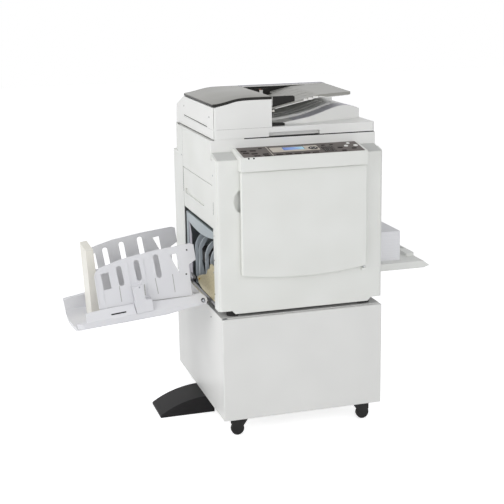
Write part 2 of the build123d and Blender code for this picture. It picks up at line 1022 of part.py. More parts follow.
def upper_plan(wall):
    """Plan of the rear cover beside the scanner, set in by a wall thickness."""
    Polygon(
        (body_left + wall, rear_front),
        (body_left + wall, corner_start + 1),
        (corner_left + wall, upper_back - wall),
        (body_right - wall, upper_back - wall),
        (body_right - wall, rear_front),
        align=None,
    )


with BuildPart() as rear_cover:
    block(body_left, body_right, rear_front, body_back, body_bottom, rear_shoulder)
    fillet(rear_cover.edges().filter_by(Axis.Z).group_by(Axis.Y)[-1], 12)
    with BuildSketch(level(rear_shoulder)):
        upper_plan(0)
    extrude(amount=scanner_cover_top - rear_shoulder)
    block(
        body_left + cover_wall,
        body_right - cover_wall,
        rear_front,
        body_back - cover_wall,
        body_bottom,
        rear_shoulder - cover_wall,
        Mode.SUBTRACT,
    )
    with BuildSketch(level(rear_shoulder - cover_wall)):
        upper_plan(cover_wall)
    extrude(amount=scanner_cover_top - rear_shoulder + cover_wall, mode=Mode.SUBTRACT)
    with BuildSketch(facing(body_back)):
        with Locations((0, 900)):
            with GridLocations(260, 14, vent_columns, vent_rows):
                SlotOverall(150, 5)
    extrude(amount=cover_wall, mode=Mode.SUBTRACT)
    with BuildSketch(facing(body_back)):
        with Locations((-200, 560)):
            Rectangle(30, 24)
    extrude(amount=cover_wall, mode=Mode.SUBTRACT)
save(rear_cover.part, "rear_cover")

# Power inlet in the rear cover
with BuildPart() as power_inlet:
    with BuildSketch(facing(body_back)):
        with Locations((-200, 560)):
            Rectangle(29.4, 23.4)
    extrude(amount=22)
    with BuildSketch(facing(body_back - cover_wall)):
        with Locations((-200, 560)):
            Rectangle(46, 30)
    extrude(amount=3)
    with BuildSketch(facing(body_back)) as inlet_mouth:
        with Locations((-200, 560)):
            Rectangle(24.4, 17)
        chamfer(inlet_mouth.vertices().group_by(Axis.Z)[-1], 4)
    extrude(amount=17, mode=Mode.SUBTRACT)
    with BuildSketch(facing(body_back - 4)):
        with Locations((-207, 561), (-200, 556), (-193, 561)):
            Rectangle(2, 4)
    extrude(amount=13)
save(power_inlet.part, "power_inlet")

# Scanner housing: closed below, with a glass opening and two notches for the lid hinges above
hinge_spots = (-190.0, 190.0)
hinge_half = 22.0
lid_pin_y = 308.0
lid_pin_z = lid_bottom + 8
lid_pin = 4.0
scanner_half = body_right - cover_wall
scanner_strip = 4.0
scanner_round = 3.5
scanner_tail = corner_left + cover_wall + 0.5
scan_rail_z = scanner_bottom + 40
scan_rail_y = (glass_front - 18, glass_back + 22)
with BuildPart() as scanner_housing:
    block(-scanner_half, scanner_half, scanner_front, corner_start, scanner_bottom, scanner_top)
    block(scanner_tail, scanner_half, corner_start, scanner_back, scanner_bottom, scanner_top)
    block(
        body_left,
        body_right,
        scanner_front,
        scanner_front + scanner_strip,
        wing_front_top - 6,
        scanner_top,
    )
    corner_edges = scanner_housing.edges().filter_by(Axis.Z).group_by(Axis.Y)[0]
    fillet(corner_edges.filter_by(lambda e: e.length > 30), scanner_round)
    block(
        -scanner_half + 3,
        scanner_half - 3,
        scanner_front + 4,
        corner_start - 3,
        scanner_bottom + 3,
        scanner_top - 4,
        Mode.SUBTRACT,
    )
    block(
        scanner_tail + 3,
        scanner_half - 3,
        corner_start - 3,
        scanner_back - 3,
        scanner_bottom + 3,
        scanner_top - 4,
        Mode.SUBTRACT,
    )
    block(
        glass_left,
        glass_right,
        glass_front,
        glass_back,
        scanner_top - 4,
        scanner_top,
        Mode.SUBTRACT,
    )
    for y in scan_rail_y:
        for x0 in (-scanner_half + 3, scanner_half - 15):
            block(x0, x0 + 12, y - 8, y + 8, scanner_bottom + 3, scan_rail_z + 8)
            bar_x(y, scan_rail_z, rail_radius, x0, x0 + 12, Mode.SUBTRACT)
save(scanner_housing.part, "scanner_housing")

# Platen glass, seated on a ledge frame of its own thickness
with BuildPart() as exposure_glass:
    block(
        glass_left + slide_gap,
        glass_right - slide_gap,
        glass_front + slide_gap,
        glass_back - slide_gap,
        scanner_top - glass_thickness,
        scanner_top,
    )
save(exposure_glass.part, "exposure_glass")

with BuildPart() as scan_rails:
    for y in scan_rail_y:
        bar_x(y, scan_rail_z, rail_radius, -scanner_half + 3, scanner_half - 3)
save(scan_rails.part, "scan_rails")

# Scan carriage with the lamp slot in its top
carriage_x = -240.0
carriage_width = 46.0
with BuildPart() as scan_carriage:
    block(
        carriage_x - carriage_width / 2,
        carriage_x + carriage_width / 2,
        scan_rail_y[0] - 12,
        scan_rail_y[1] + 12,
        scan_rail_z - 12,
        scan_rail_z - 12 + carriage_height,
    )
    block(
        carriage_x - 5,
        carriage_x + 5,
        glass_front + 4,
        glass_back - 4,
        scan_rail_z + 6,
        scan_rail_z - 12 + carriage_height,
        Mode.SUBTRACT,
    )
    for y in scan_rail_y:
        bar_x(
            y,
            scan_rail_z,
            rail_radius + fit_gap,
            carriage_x - carriage_width / 2,
            carriage_x + carriage_width / 2,
            Mode.SUBTRACT,
        )
save(scan_carriage.part, "scan_carriage")

# Lid (platen cover): open below, with a grip recess in front and hinge lugs at the back
lid_wall = 3.0
grip_left = -97.0
grip_right = 99.0
lug_width = 8.0
with BuildPart() as platen_cover:
    block(lid_left, lid_right, scanner_front, lid_back, lid_bottom, lid_top)
    fillet(platen_cover.edges().filter_by(Axis.Z).group_by(Axis.Y)[0], 12)
    chamfer(platen_cover.edges().filter_by(Axis.X).group_by(Axis.Z)[0].sort_by(Axis.Y)[-1], 4)
    block(
        lid_left + lid_wall,
        lid_right - lid_wall,
        scanner_front + lid_wall,
        lid_back - lid_wall,
        lid_bottom,
        lid_top - lid_wall,
        Mode.SUBTRACT,
    )
    block(
        grip_left - 4,
        grip_right + 4,
        scanner_front + lid_wall,
        scanner_front + 22,
        lid_bottom,
        lid_top - lid_wall,
    )
    block(
        grip_left,
        grip_right,
        scanner_front,
        scanner_front + 18,
        lid_bottom,
        lid_bottom + 15,
        Mode.SUBTRACT,
    )
    for x in hinge_spots:
        block(
            x - hinge_half - lug_width,
            x + hinge_half + lug_width,
            lid_pin_y - 9,
            lid_back - lid_wall,
            lid_bottom + 1,
            lid_top - lid_wall,
        )
        block(
            x - hinge_half,
            x + hinge_half,
            lid_pin_y - 12,
            lid_back,
            lid_bottom,
            lid_top - 6,
            Mode.SUBTRACT,
        )
        bar_x(
            lid_pin_y,
            lid_pin_z,
            lid_pin + fit_gap,
            x - hinge_half - lug_width,
            x + hinge_half + lug_width,
            Mode.SUBTRACT,
        )
save(platen_cover.part, "platen_cover")

with BuildPart() as platen_sheet:
    block(
        glass_left - 6,
        glass_right + 6,
        glass_front - 6,
        glass_back + 6,
        scanner_top + 1.2,
        lid_top - lid_wall,
    )
    block(
        glass_left - 2,
        glass_right + 2,
        glass_front - 2,
        glass_back + 2,
        scanner_top + 5,
        lid_top - lid_wall,
        Mode.SUBTRACT,
    )
save(platen_sheet.part, "platen_sheet")

# Feeder box, rear deck and rail over the lid; the crown of its cover is an S curve
crown_low = 1227.0
crown_high = 1247.0
crown_points = (
    (lid_left + 4, crown_low),
    (lid_left + 32, crown_low + 4.5),
    (lid_left + 59, crown_low + 10.5),
    (lid_left + 85, crown_low + 17),
    (lid_left + 118, crown_high),
    (feeder_right, crown_high),
)
crown_drop = 1.0
cover_pin_x = lid_left + 8.0
cover_pin_z = crown_low + 4.0
cover_barrel = 6.0
feeder_wall = 3.0


def crown_area(height_from, height_to):
    """Closed outline between two copies of the crown curve, or down to a level."""
    low = [(x, z + height_from) for x, z in crown_points]
    high = [(x, z + height_to) for x, z in crown_points]
    with BuildLine() as outline:
        Spline(*low, tangents=((1, 0.08), (1, 0)))
        Line(low[-1], high[-1])
        Spline(*high, tangents=((1, 0.08), (1, 0)))
        Line(high[0], low[0])
    make_face(outline.edges())


def under_crown(left, right, bottom, drop):
    """Closed outline from a level up to the crown curve, lowered by drop."""
    top = [(x, z - drop) for x, z in crown_points]
    with BuildLine() as outline:
        Spline(*top, tangents=((1, 0.08), (1, 0)))
        Polyline(
            top[-1],
            (right, bottom),
            (left, bottom),
            (left, top[0][1] - 1),
            top[0],
        )
    make_face(outline.edges())


roller_x = -150.0
roller_z = 1194.0
roller_shaft = 4.0
lug_front = paper_middle - 160
lug_back = paper_middle + 156
tray_pivot_x = feeder_right + 9
tray_pivot_z = 1203.0
tray_pivot = 2.5
pivot_barrel = 5.5
with BuildPart() as feeder_housing:
    with BuildSketch(facing(feeder_back)):
        under_crown(lid_left, feeder_right, lid_top, crown_drop)
    extrude(amount=feeder_back - scanner_front)
    box_corner = feeder_housing.edges().filter_by(Axis.Z).group_by(Axis.Y)[0]
    fillet(box_corner.sort_by(Axis.X)[0], 12)
    with BuildSketch(facing(feeder_back - feeder_wall)):
        with Locations(((lid_left + feeder_right) / 2, lid_top + 60)):
            Rectangle(feeder_right - lid_left - 2 * feeder_wall, 120 - 2 * feeder_wall)
    extrude(amount=feeder_back - scanner_front - 2 * feeder_wall, mode=Mode.SUBTRACT)
    block(
        feeder_right - feeder_wall,
        feeder_right,
        lug_front + 12,
        lug_back - 6,
        lid_top + 8,
        crown_high,
        Mode.SUBTRACT,
    )
    with BuildSketch(across(lid_left)):
        Polygon(
            (feeder_back, lid_top),
            (feeder_back, crown_low - 2),
            (deck_back, deck_back_top),
            (lid_back - 2, lid_top),
            align=None,
        )
    extrude(amount=lid_right - lid_left)
    with BuildSketch(across(lid_left + 4)):
        Polygon(
            (feeder_back + 3, lid_top),
            (feeder_back + 3, crown_low - 9),
            (deck_back - 4, deck_back_top - 7),
            (lid_back - 6, lid_top),
            align=None,
        )
    extrude(amount=lid_right - lid_left - 8, mode=Mode.SUBTRACT)
    block(feeder_right, rail_right, rail_front, feeder_back, rail_top - 52, rail_top)
    block(
        feeder_right + 3,
        rail_right - 3,
        rail_front + 3,
        feeder_back,
        rail_top - 52,
        rail_top - 3,
        Mode.SUBTRACT,
    )
    block(
        feeder_right,
        rail_right,
        feeder_back,
        feeder_back + 3,
        lid_top,
        rail_top - 1,
    )
    for y0, y1 in ((lug_front, lug_front + 6), (lug_back, lug_back + 6)):
        with BuildSketch(facing(y1)):
            with BuildLine():
                Polyline(
                    (feeder_right - feeder_wall, tray_pivot_z + 10),
                    (feeder_right - feeder_wall, tray_pivot_z - 20),
                    (tray_pivot_x + 6, tray_pivot_z - 6),
                    (tray_pivot_x + 6, tray_pivot_z + 5),
                    close=True,
                )
            make_face()
        extrude(amount=6)
    bar_y(
        tray_pivot_x,
        tray_pivot_z,
        tray_pivot + fit_gap,
        lug_front,
        lug_back + 6,
        Mode.SUBTRACT,
    )
    for y0 in (scanner_front + feeder_wall, feeder_back - feeder_wall - 10):
        block(roller_x - 9, roller_x + 9, y0, y0 + 10, lid_top, roller_z + 9)
    bar_y(
        roller_x,
        roller_z,
        roller_shaft + fit_gap,
        scanner_front + feeder_wall,
        feeder_back - feeder_wall,
        Mode.SUBTRACT,
    )
    bar_y(
        cover_pin_x,
        cover_pin_z,
        cover_barrel + slide_gap + 0.2,
        scanner_front,
        feeder_back,
        Mode.SUBTRACT,
    )
save(feeder_housing.part, "feeder_housing")

with BuildPart() as feeder_cover:
    with BuildSketch(facing(feeder_back)):
        crown_area(0, cover_thickness)
    extrude(amount=feeder_back - scanner_front)
    bar_y(cover_pin_x, cover_pin_z, cover_barrel, scanner_front, feeder_back)
    with BuildSketch(facing(feeder_back - 4)):
        with Locations((roller_x, crown_high - 8)):
            Rectangle(40, 20)
    extrude(amount=feeder_back - scanner_front - 8)
save(feeder_cover.part, "feeder_cover")

with BuildPart() as feeder_rollers:
    bar_y(
        roller_x,
        roller_z,
        roller_shaft,
        scanner_front + feeder_wall + slide_gap,
        feeder_back - feeder_wall - slide_gap,
    )
    for middle in (paper_middle - 70, paper_middle, paper_middle + 70):
        bar_y(roller_x, roller_z, 15, middle - 18, middle + 18)
save(feeder_rollers.part, "feeder_rollers")

# Document tray on its barrel, rising to the right
doc_front = paper_middle - 160
doc_back = rail_front - 2
doc_knee_x = 122.0
doc_knee_z = 1250.0
doc_end_z = 1256.5
doc_end_front = 240.0
doc_end_back = 266.0
doc_slope = (doc_knee_z - tray_pivot_z - 5) / (doc_knee_x - tray_pivot_x)


def doc_height(x):
    """Height of the document tray's top on its sloping part."""
    return tray_pivot_z + 5 + doc_slope * (x - tray_pivot_x)


with BuildPart() as document_tray:
    with BuildSketch(facing(doc_back)):
        Polygon(
            (tray_pivot_x, doc_height(tray_pivot_x)),
            (doc_knee_x, doc_knee_z),
            (doc_end_back, doc_end_z),
            (doc_end_back, doc_end_z - 11),
            (doc_knee_x + 24, doc_knee_z - 11),
            (doc_knee_x - 2, doc_knee_z - 7),
            (tray_pivot_x, doc_height(tray_pivot_x) - 6),
            align=None,
        )
    extrude(amount=doc_back - doc_front)
    with BuildSketch(level(tray_pivot_z)):
        Polygon(
            (doc_end_front, doc_front),
            (doc_end_back + 30, doc_front),
            (doc_end_back + 30, doc_back),
            (doc_end_back, doc_back),
            align=None,
        )
    extrude(amount=90, mode=Mode.SUBTRACT)
    bar_y(
        tray_pivot_x,
        tray_pivot_z,
        pivot_barrel,
        lug_front + 6 + slide_gap,
        lug_back - slide_gap,
    )
    block(
        tray_pivot_x - 14,
        tray_pivot_x + 8,
        doc_front,
        lug_front + 6 + slide_gap,
        tray_pivot_z - 10,
        tray_pivot_z + 20,
        Mode.SUBTRACT,
    )
    block(
        tray_pivot_x - 14,
        tray_pivot_x + 8,
        lug_back - slide_gap,
        doc_back,
        tray_pivot_z - 10,
        tray_pivot_z + 20,
        Mode.SUBTRACT,
    )
    bar_y(tray_pivot_x, tray_pivot_z, tray_pivot, lug_front + 1, lug_back + 5)
save(document_tray.part, "document_tray")

# Document guides: black fences on thin feet that follow the tray's slope
guide_left = -60.0
guide_right = 24.0
guide_top = 1249.5
guide_foot = 26.0


def document_guide(face_y, foot_y):
    """One guide: the fence at face_y and its foot from foot_y on, towards the paper's middle."""
    low_left = doc_height(guide_left) + slide_gap
    low_right = doc_height(guide_right) + slide_gap
    with BuildSketch(facing(face_y + 3)) as fence:
        Polygon(
            (guide_left, low_left),
            (guide_right, low_right),
            (guide_right, guide_top - 4),
            (guide_right - 8, guide_top),
            (guide_left, guide_top),
            align=None,
        )
    extrude(fence.sketch, amount=3)
    with BuildSketch(facing(foot_y + guide_foot)) as foot:
        Polygon(
            (guide_left, low_left),
            (guide_right, low_right),
            (guide_right, low_right + 2),
            (guide_left, low_left + 2),
            align=None,
        )
    extrude(foot.sketch, amount=guide_foot)


guide_front_y = paper_middle - paper_width / 2 - 3.5
guide_back_y = paper_middle + paper_width / 2 + 0.5
with BuildPart() as front_document_guide:
    document_guide(guide_front_y, guide_front_y)
save(front_document_guide.part, "front_document_guide")

with BuildPart() as rear_document_guide:
    document_guide(guide_back_y, guide_back_y + 3 - guide_foot)
save(rear_document_guide.part, "rear_document_guide")

# Exit tray: a ramp on the lid that rises to the right and drops off behind its crest
with BuildPart() as exit_tray:
    with BuildSketch(facing(rail_front - 4)):
        with BuildLine():
            ramp = Spline(
                (feeder_right + 4, lid_top + 3),
                (20, lid_top + 12),
                (140, lid_top + 35),
                (228, lid_top + 53),
                (262, lid_top + 50),
                (306, lid_top + 37),
            )
            Polyline(ramp @ 1, (306, lid_top), (feeder_right + 4, lid_top), ramp @ 0)
        make_face()
    extrude(amount=rail_front - 4 - (scanner_front + 62))
    with BuildSketch(facing(rail_front - 8)):
        Polygon(
            (24, lid_top),
            (24, lid_top + 8),
            (140, lid_top + 31),
            (224, lid_top + 47),
            (262, lid_top + 45),
            (301, lid_top + 34),
            (301, lid_top),
            align=None,
        )
    extrude(amount=rail_front - 8 - (scanner_front + 136), mode=Mode.SUBTRACT)
    with BuildSketch(level(lid_top)):
        Polygon(
            (feeder_right, scanner_front + 60),
            (76, scanner_front + 65),
            (306.5, scanner_front + 130),
            (306.5, scanner_front + 60),
            align=None,
        )
    extrude(amount=80, mode=Mode.SUBTRACT)
save(exit_tray.part, "exit_tray")

# Delivery tray, drawn in its own tilted frame: u runs out from the hinge, w stands square to the tray
tilt = radians(tray_tilt)
tray_out = (-cos(tilt), 0, -sin(tilt))
tray_up = (-sin(tilt), 0, cos(tilt))


def tray_side(y):
    """Plane at depth y, sketched in u and w; it extrudes towards the back."""
    origin = (machine_x + tray_x, y, tray_z)
    return Plane(origin=origin, x_dir=tray_out, z_dir=(0, 1, 0))


def tray_plan(w):
    """Plane parallel to the tray at height w, sketched in u and -y; it extrudes upwards."""
    origin = (machine_x + tray_x + w * tray_up[0], 0, tray_z + w * tray_up[2])
    return Plane(origin=origin, x_dir=tray_out, z_dir=tray_up)


# The near sill's front edge climbs away from the hinge, at an angle of its own to the tray
sill_rise = 0.0726
sill_edge = -15.3
sill_tilt = tilt - atan2(sill_rise, 1)
sill_start = -30.0
sill_w = sill_edge + sill_rise * sill_start
sill_origin = (
    machine_x + tray_x + sill_start * tray_out[0] + sill_w * tray_up[0],
    0,
    tray_z + sill_start * tray_out[2] + sill_w * tray_up[2],
)
sill_plane = Plane(
    origin=sill_origin,
    x_dir=(0, -1, 0),
    z_dir=(-cos(sill_tilt), 0, -sin(sill_tilt)),
)
floor_start = (-8.0, 12.0)
floor_low = (373.0, -30.0)
floor_slope = (floor_low[1] - floor_start[1]) / (floor_low[0] - floor_start[0])
shelf_slope = -0.0468
shelf_depth = 63.0
sill_depth = 25.0
sill_end = 424.0
clip_left = 180.0
clip_right = 243.0
clip_gap = 2.0
clip_bottom = 1.0


def floor_height(u):
    """Height w of the tray's floor at distance u from the hinge."""
    return floor_start[1] + floor_slope * (u - floor_start[0])


def shelf_height(u):
    """Height w of the shelves under the side fences."""
    return floor_start[1] + shelf_slope * (u - floor_start[0])


def tray_blank(u0, u1, y0, y1, w0, w1, mode=Mode.SUBTRACT):
    """A block in the tray's own frame."""
    with BuildSketch(tray_side(y0)) as outline:
        with Locations(((u0 + u1) / 2, (w0 + w1) / 2)):
            Rectangle(u1 - u0, w1 - w0)
    extrude(outline.sketch, amount=y1 - y0, mode=mode)


with BuildPart() as delivery_tray:
    with BuildSketch(tray_side(tray_front + 2)):
        Polygon(
            floor_start,
            floor_low,
            (tray_length, -19),
            (tray_length, -36),
            (300, -41),
            (14, -24),
            (-20, -22),
            (-22, -2),
            align=None,
        )
    extrude(amount=2 * tray_half_depth - 4)
    for y, shelf_end in ((tray_front + 4, tray_length - 6), (tray_back - sill_depth - shelf_depth, 380)):
        with BuildSketch(tray_side(y)):
            Polygon(
                (0, shelf_height(0)),
                (shelf_end, shelf_height(shelf_end)),
                (shelf_end, -32),
                (0, -20),
                align=None,
            )
        extrude(amount=sill_depth + shelf_depth - 4)
    with BuildSketch(tray_side(tray_front)):
        Polygon(
            (-14, 5),
            (24, 9),
            (147, 23),
            (247, 40),
            (371, 43),
            (sill_end, 44),
            (sill_end + 3, 14),
            (tray_length, 13),
            (tray_length, -5),
            (350, -14),
            (91, -25),
            (-8, -26.5),
            align=None,
        )
        with Locations((-8, -11)):
            Circle(15.5)
    extrude(amount=sill_depth)
    with BuildSketch(tray_side(tray_back - sill_depth)):
        Polygon(
            (-14, 5),
            (24, 14),
            (147, 19),
            (267, 25),
            (384, 22),
            (tray_length, 20),
            (tray_length, -36),
            (300, -41),
            (-8, -26.5),
            align=None,
        )
        with Locations((-8, -11)):
            Circle(15.5)
    extrude(amount=sill_depth)
    with BuildSketch(sill_plane):
        Polygon(
            (-tray_front + 1, -1.3),
            (-tray_front - sill_depth, 33),
            (-tray_front - sill_depth, 70),
            (-tray_front + 1, 70),
            align=None,
        )
    extrude(amount=tray_length + 50, mode=Mode.SUBTRACT)
    with BuildSketch(sill_plane):
        Polygon(
            (-tray_front + 1, -24),
            (-tray_front - 110, -58),
            (-tray_front + 1, -80),
            align=None,
        )
    extrude(amount=tray_length + 50, mode=Mode.SUBTRACT)
    with BuildSketch(tray_side(tray_front + sill_depth + shelf_depth + 6)):
        Polygon(
            (30, floor_height(30) - 4),
            (floor_low[0], floor_low[1] - 4),
            (tray_length - 26, -28),
            (tray_length - 26, -50),
            (30, -50),
            align=None,
        )
    middle_hollow = 2 * (tray_half_depth - sill_depth - shelf_depth) - 12
    extrude(amount=middle_hollow, mode=Mode.SUBTRACT)
    with BuildSketch(tray_side(tray_back - sill_depth - shelf_depth + 4)):
        Polygon(
            (30, shelf_height(30) - 4),
            (376, shelf_height(376) - 4),
            (376, -50),
            (30, -50),
            align=None,
        )
    extrude(amount=shelf_depth - 4, mode=Mode.SUBTRACT)
    with BuildSketch(tray_plan(-60)):
        with BuildLine():
            end_curve = Spline(
                (tray_length - 37, -tray_front + 2),
                (tray_length - 20, -tray_front - 14),
                (tray_length - 11, -tray_front - 80),
                (tray_length - 3, 50),
                (tray_length - 1.5, -20),
                (tray_length - 4, -78),
                (tray_length - 10, -tray_back - 2),
            )
            Polyline(
                end_curve @ 1,
                (tray_length + 43, -tray_back - 2),
                (tray_length + 43, -tray_front + 2),
                end_curve @ 0,
            )
        make_face()
    extrude(amount=140, mode=Mode.SUBTRACT)
    channel = sill_depth + shelf_depth + 6
    for y0, y1 in ((tray_front, tray_front + channel), (tray_back - channel, tray_back)):
        tray_blank(clip_left - clip_gap, clip_right + clip_gap, y0, y1, clip_bottom - 1, 60)
    for y in arm_spots:
        tray_blank(-30, 16, y - 3, y + tray_arm + 3, -40, 40)
    for y0, y1 in ((tray_front, tray_front + sill_depth), (tray_back - sill_depth, tray_back)):
        bar_y(tray_pin_x, tray_pin_z, 8, y0, y1, Mode.SUBTRACT)
    bar_y(tray_pin_x, tray_pin_z, tray_rod + fit_gap, tray_front, tray_back, Mode.SUBTRACT)
save(delivery_tray.part, "delivery_tray")

# Side fences: windowed plates with a clip that rides in the notch of the tray's sill


def side_fence(plate_y, clip_y0, clip_y1):
    """One side fence, its windows and its clip."""
    with BuildSketch(tray_side(plate_y)) as outline:
        Polygon(
            (24, shelf_height(24) + slide_gap),
            (371, shelf_height(371) + slide_gap),
            (361, 180),
            (343, 196),
            (297, 204),
            (237, fence_height + 4),
            (127, fence_height + 5),
            (-2, fence_height),
            (-16, fence_height - 7),
            (-14, 141),
            (14, 129),
            (19, 72),
            align=None,
        )
        with Locations((326, 142)):
            Rectangle(29, 63, mode=Mode.SUBTRACT)
        for u, low, high in ((272, 111, 187), (205, 113, 194), (131, 106, 197)):
            with Locations((u, (low + high) / 2)):
                SlotOverall(high - low, 20, rotation=90, mode=Mode.SUBTRACT)
        Polygon((78, 181), (54, 181), (54, 106), align=None, mode=Mode.SUBTRACT)
    extrude(outline.sketch, amount=fence_thickness)
    with BuildSketch(tray_side(clip_y0)) as clip:
        Polygon(
            (clip_left, clip_bottom),
            (clip_right, clip_bottom),
            (clip_right, 44),
            (clip_right - 3, 48),
            (clip_right - 3, 103),
            (clip_right - 41, 103),
            (clip_right - 41, 48),
            (clip_left, 44),
            align=None,
        )
    extrude(clip.sketch, amount=clip_y1 - clip_y0)


fence_front_y = paper_middle - fence_spacing / 2
fence_back_y = paper_middle + fence_spacing / 2
with BuildPart() as near_side_fence:
    side_fence(
        fence_front_y - fence_thickness,
        tray_front - 1,
        fence_front_y - fence_thickness,
    )
save(near_side_fence.part, "near_side_fence")

with BuildPart() as far_side_fence:
    side_fence(
        fence_back_y,
        fence_back_y + fence_thickness,
        tray_back + 1,
    )
save(far_side_fence.part, "far_side_fence")

# End fence: a leaning hollow block that slides along the tray's floor
end_fence_half = 77.0
end_u = 362.0
end_thickness = 27.0
with BuildPart() as end_fence:
    with BuildSketch(tray_side(paper_middle - end_fence_half)):
        Polygon(
            (end_u, floor_height(end_u) + slide_gap),
            (end_u + 11, floor_height(end_u + 11) + slide_gap),
            (end_u + end_thickness + 9, floor_height(end_u + 11) + slide_gap + 7),
            (end_u + end_thickness - 22, 250),
            (end_u - 22, 250),
            align=None,
        )
    extrude(amount=2 * end_fence_half)
    with BuildSketch(tray_side(paper_middle - end_fence_half + 3)):
        Polygon(
            (end_u + 3, floor_height(end_u) - 6),
            (end_u + end_thickness + 6, floor_height(end_u) - 6),
            (end_u + end_thickness - 25, 246),
            (end_u - 19, 246),
            align=None,
        )
    extrude(amount=2 * end_fence_half - 6, mode=Mode.SUBTRACT)
save(end_fence.part, "end_fence")

# Feed tray: a shallow pan with a raised end and a sloping lip
feed_under = feed_top - feed_depth
with BuildPart() as feed_tray:
    with BuildSketch(facing(feed_back)):
        Polygon(
            (feed_inner, feed_under),
            (feed_end, feed_under),
            (feed_end + feed_lip, feed_top - 20),
            (feed_end, feed_top),
            (feed_inner, feed_top),
            align=None,
        )
    extrude(amount=feed_back - feed_front)
    block(
        feed_inner + 4,
        feed_end - 4,
        feed_front + 4,
        feed_back - 4,
        feed_under,
        feed_top - 4,
        Mode.SUBTRACT,
    )
    block(
        feed_end - 38,
        feed_end - 2,
        paper_middle - 113,
        paper_middle + 113,
        feed_top - 2,
        feed_top + 14,
    )
    raised = feed_tray.edges().filter_by(Axis.Z).group_by(Axis.Z)[-1]
    fillet(raised, 10)
    block(
        feed_end - 24,
        feed_end - 10,
        paper_middle - 34,
        paper_middle + 34,
        feed_top + 4,
        feed_top + 14,
        Mode.SUBTRACT,
    )
save(feed_tray.part, "feed_tray")

with BuildPart() as paper_stack:
    block(
        stack_end - stack_length,
        stack_end,
        paper_middle - paper_width / 2,
        paper_middle + paper_width / 2,
        feed_top,
        feed_top + stack_height,
    )
save(paper_stack.part, "paper_stack")

# Feed side guides inside the machine's right wall
guide_plate = 3.0
guide_gap = 0.5
for label, direction in (("front_feed_guide", -1), ("rear_feed_guide", 1)):
    inner = paper_middle + direction * (paper_width / 2 + guide_gap)
    outer = inner + direction * guide_plate
    toe = inner + direction * 28
    with BuildPart() as feed_guide:
        block(252, 310, min(inner, outer), max(inner, outer), feed_top + slide_gap, feed_top + 96)
        block(
            252,
            310,
            min(inner, toe),
            max(inner, toe),
            feed_top + slide_gap,
            feed_top + slide_gap + 3,
        )
    save(feed_guide.part, label)

# Hinge pins: cabinet door, front door, side door rod, tray rod and the lid's hinge posts
with BuildPart() as hinge_pins:
    for pin_low, pin_high, tab_low, tab_high in (
        (cabinet_bottom + 0.3, door_low + 20, cabinet_bottom + 0.3, door_low - 0.3),
        (door_high - 20, cabinet_top - 0.3, door_high + 0.3, cabinet_top - 0.3),
    ):
        bar_z(cabinet_pin_x, cabinet_pin_y, cabinet_pin_radius, pin_low, pin_high)
        block(
            cabinet_pin_x - 2,
            cabinet_pin_x + 14,
            cabinet_pin_y - 4,
            shell_front,
            tab_low,
            tab_high,
        )
    bar_z(front_pin_x, front_pin_y, side_rod, pin_tab_z + 8, pin_tab_z + 40)
    bar_z(front_pin_x, front_pin_y, side_rod, door_top - 30, panel_bottom)
    bar_y(
        side_rod_x,
        side_rod_z,
        side_rod,
        front_plate_y,
        rear_plate_y + plate_thickness,
    )
    bar_y(tray_pin_x, tray_pin_z, tray_rod, tray_front + 2, tray_back - 2)
    for x in hinge_spots:
        block(
            x - hinge_half + 4,
            x + hinge_half - 4,
            lid_pin_y - 7,
            lid_pin_y + 7,
            scanner_top,
            lid_pin_z + 6,
        )
        bar_x(
            lid_pin_y,
            lid_pin_z,
            lid_pin,
            x - hinge_half - lug_width,
            x + hinge_half + lug_width,
        )
save(hinge_pins.part, "hinge_pins")
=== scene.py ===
"""Looks of the duplicator: finishes for its solids, the small visible pieces, and a plain white studio.

Metres, in the model's own frame. Sizes that were read from the machine are in millimetres and go through
place(), whose x = 0 is the cabinet's middle. Flat pieces are drawn on boards: a board is a flat place on
the machine with its own x and y in millimetres, whose z points out of the surface.
"""
from math import cos, pi, radians, sin, sqrt

import bmesh
import bpy
from mathutils import Matrix, Vector


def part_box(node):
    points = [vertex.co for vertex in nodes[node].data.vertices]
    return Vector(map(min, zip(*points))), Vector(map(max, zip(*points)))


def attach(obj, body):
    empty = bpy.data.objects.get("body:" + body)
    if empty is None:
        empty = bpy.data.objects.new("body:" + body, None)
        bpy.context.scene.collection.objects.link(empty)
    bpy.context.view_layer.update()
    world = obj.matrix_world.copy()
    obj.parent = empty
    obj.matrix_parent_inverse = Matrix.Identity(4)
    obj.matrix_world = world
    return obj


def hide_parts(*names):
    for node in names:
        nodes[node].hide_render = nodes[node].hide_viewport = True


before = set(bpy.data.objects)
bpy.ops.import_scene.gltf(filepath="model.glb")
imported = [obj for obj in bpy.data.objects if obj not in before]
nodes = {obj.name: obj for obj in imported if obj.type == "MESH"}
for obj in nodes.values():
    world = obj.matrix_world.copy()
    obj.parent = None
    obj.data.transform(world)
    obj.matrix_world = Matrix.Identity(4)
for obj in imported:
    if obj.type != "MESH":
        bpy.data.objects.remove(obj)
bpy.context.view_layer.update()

door_low, door_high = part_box("cabinet_door")
MIDDLE = (door_low.x + door_high.x) / 2


def place(x, y, z):
    """A point of the machine, in millimetres from the cabinet's middle, as a point of the scene."""
    return Vector((MIDDLE + x / 1000, y / 1000, z / 1000))


def mm(value):
    """Millimetres to metres."""
    return value / 1000


# Shader nodes and colours


def colour(code):
    """An sRGB hex value as the linear colour that shaders take."""
    parts = [int(code[i : i + 2], 16) / 255 for i in (1, 3, 5)]
    linear = [c / 12.92 if c <= 0.04045 else ((c + 0.055) / 1.055) ** 2.4 for c in parts]
    return (*linear, 1.0)


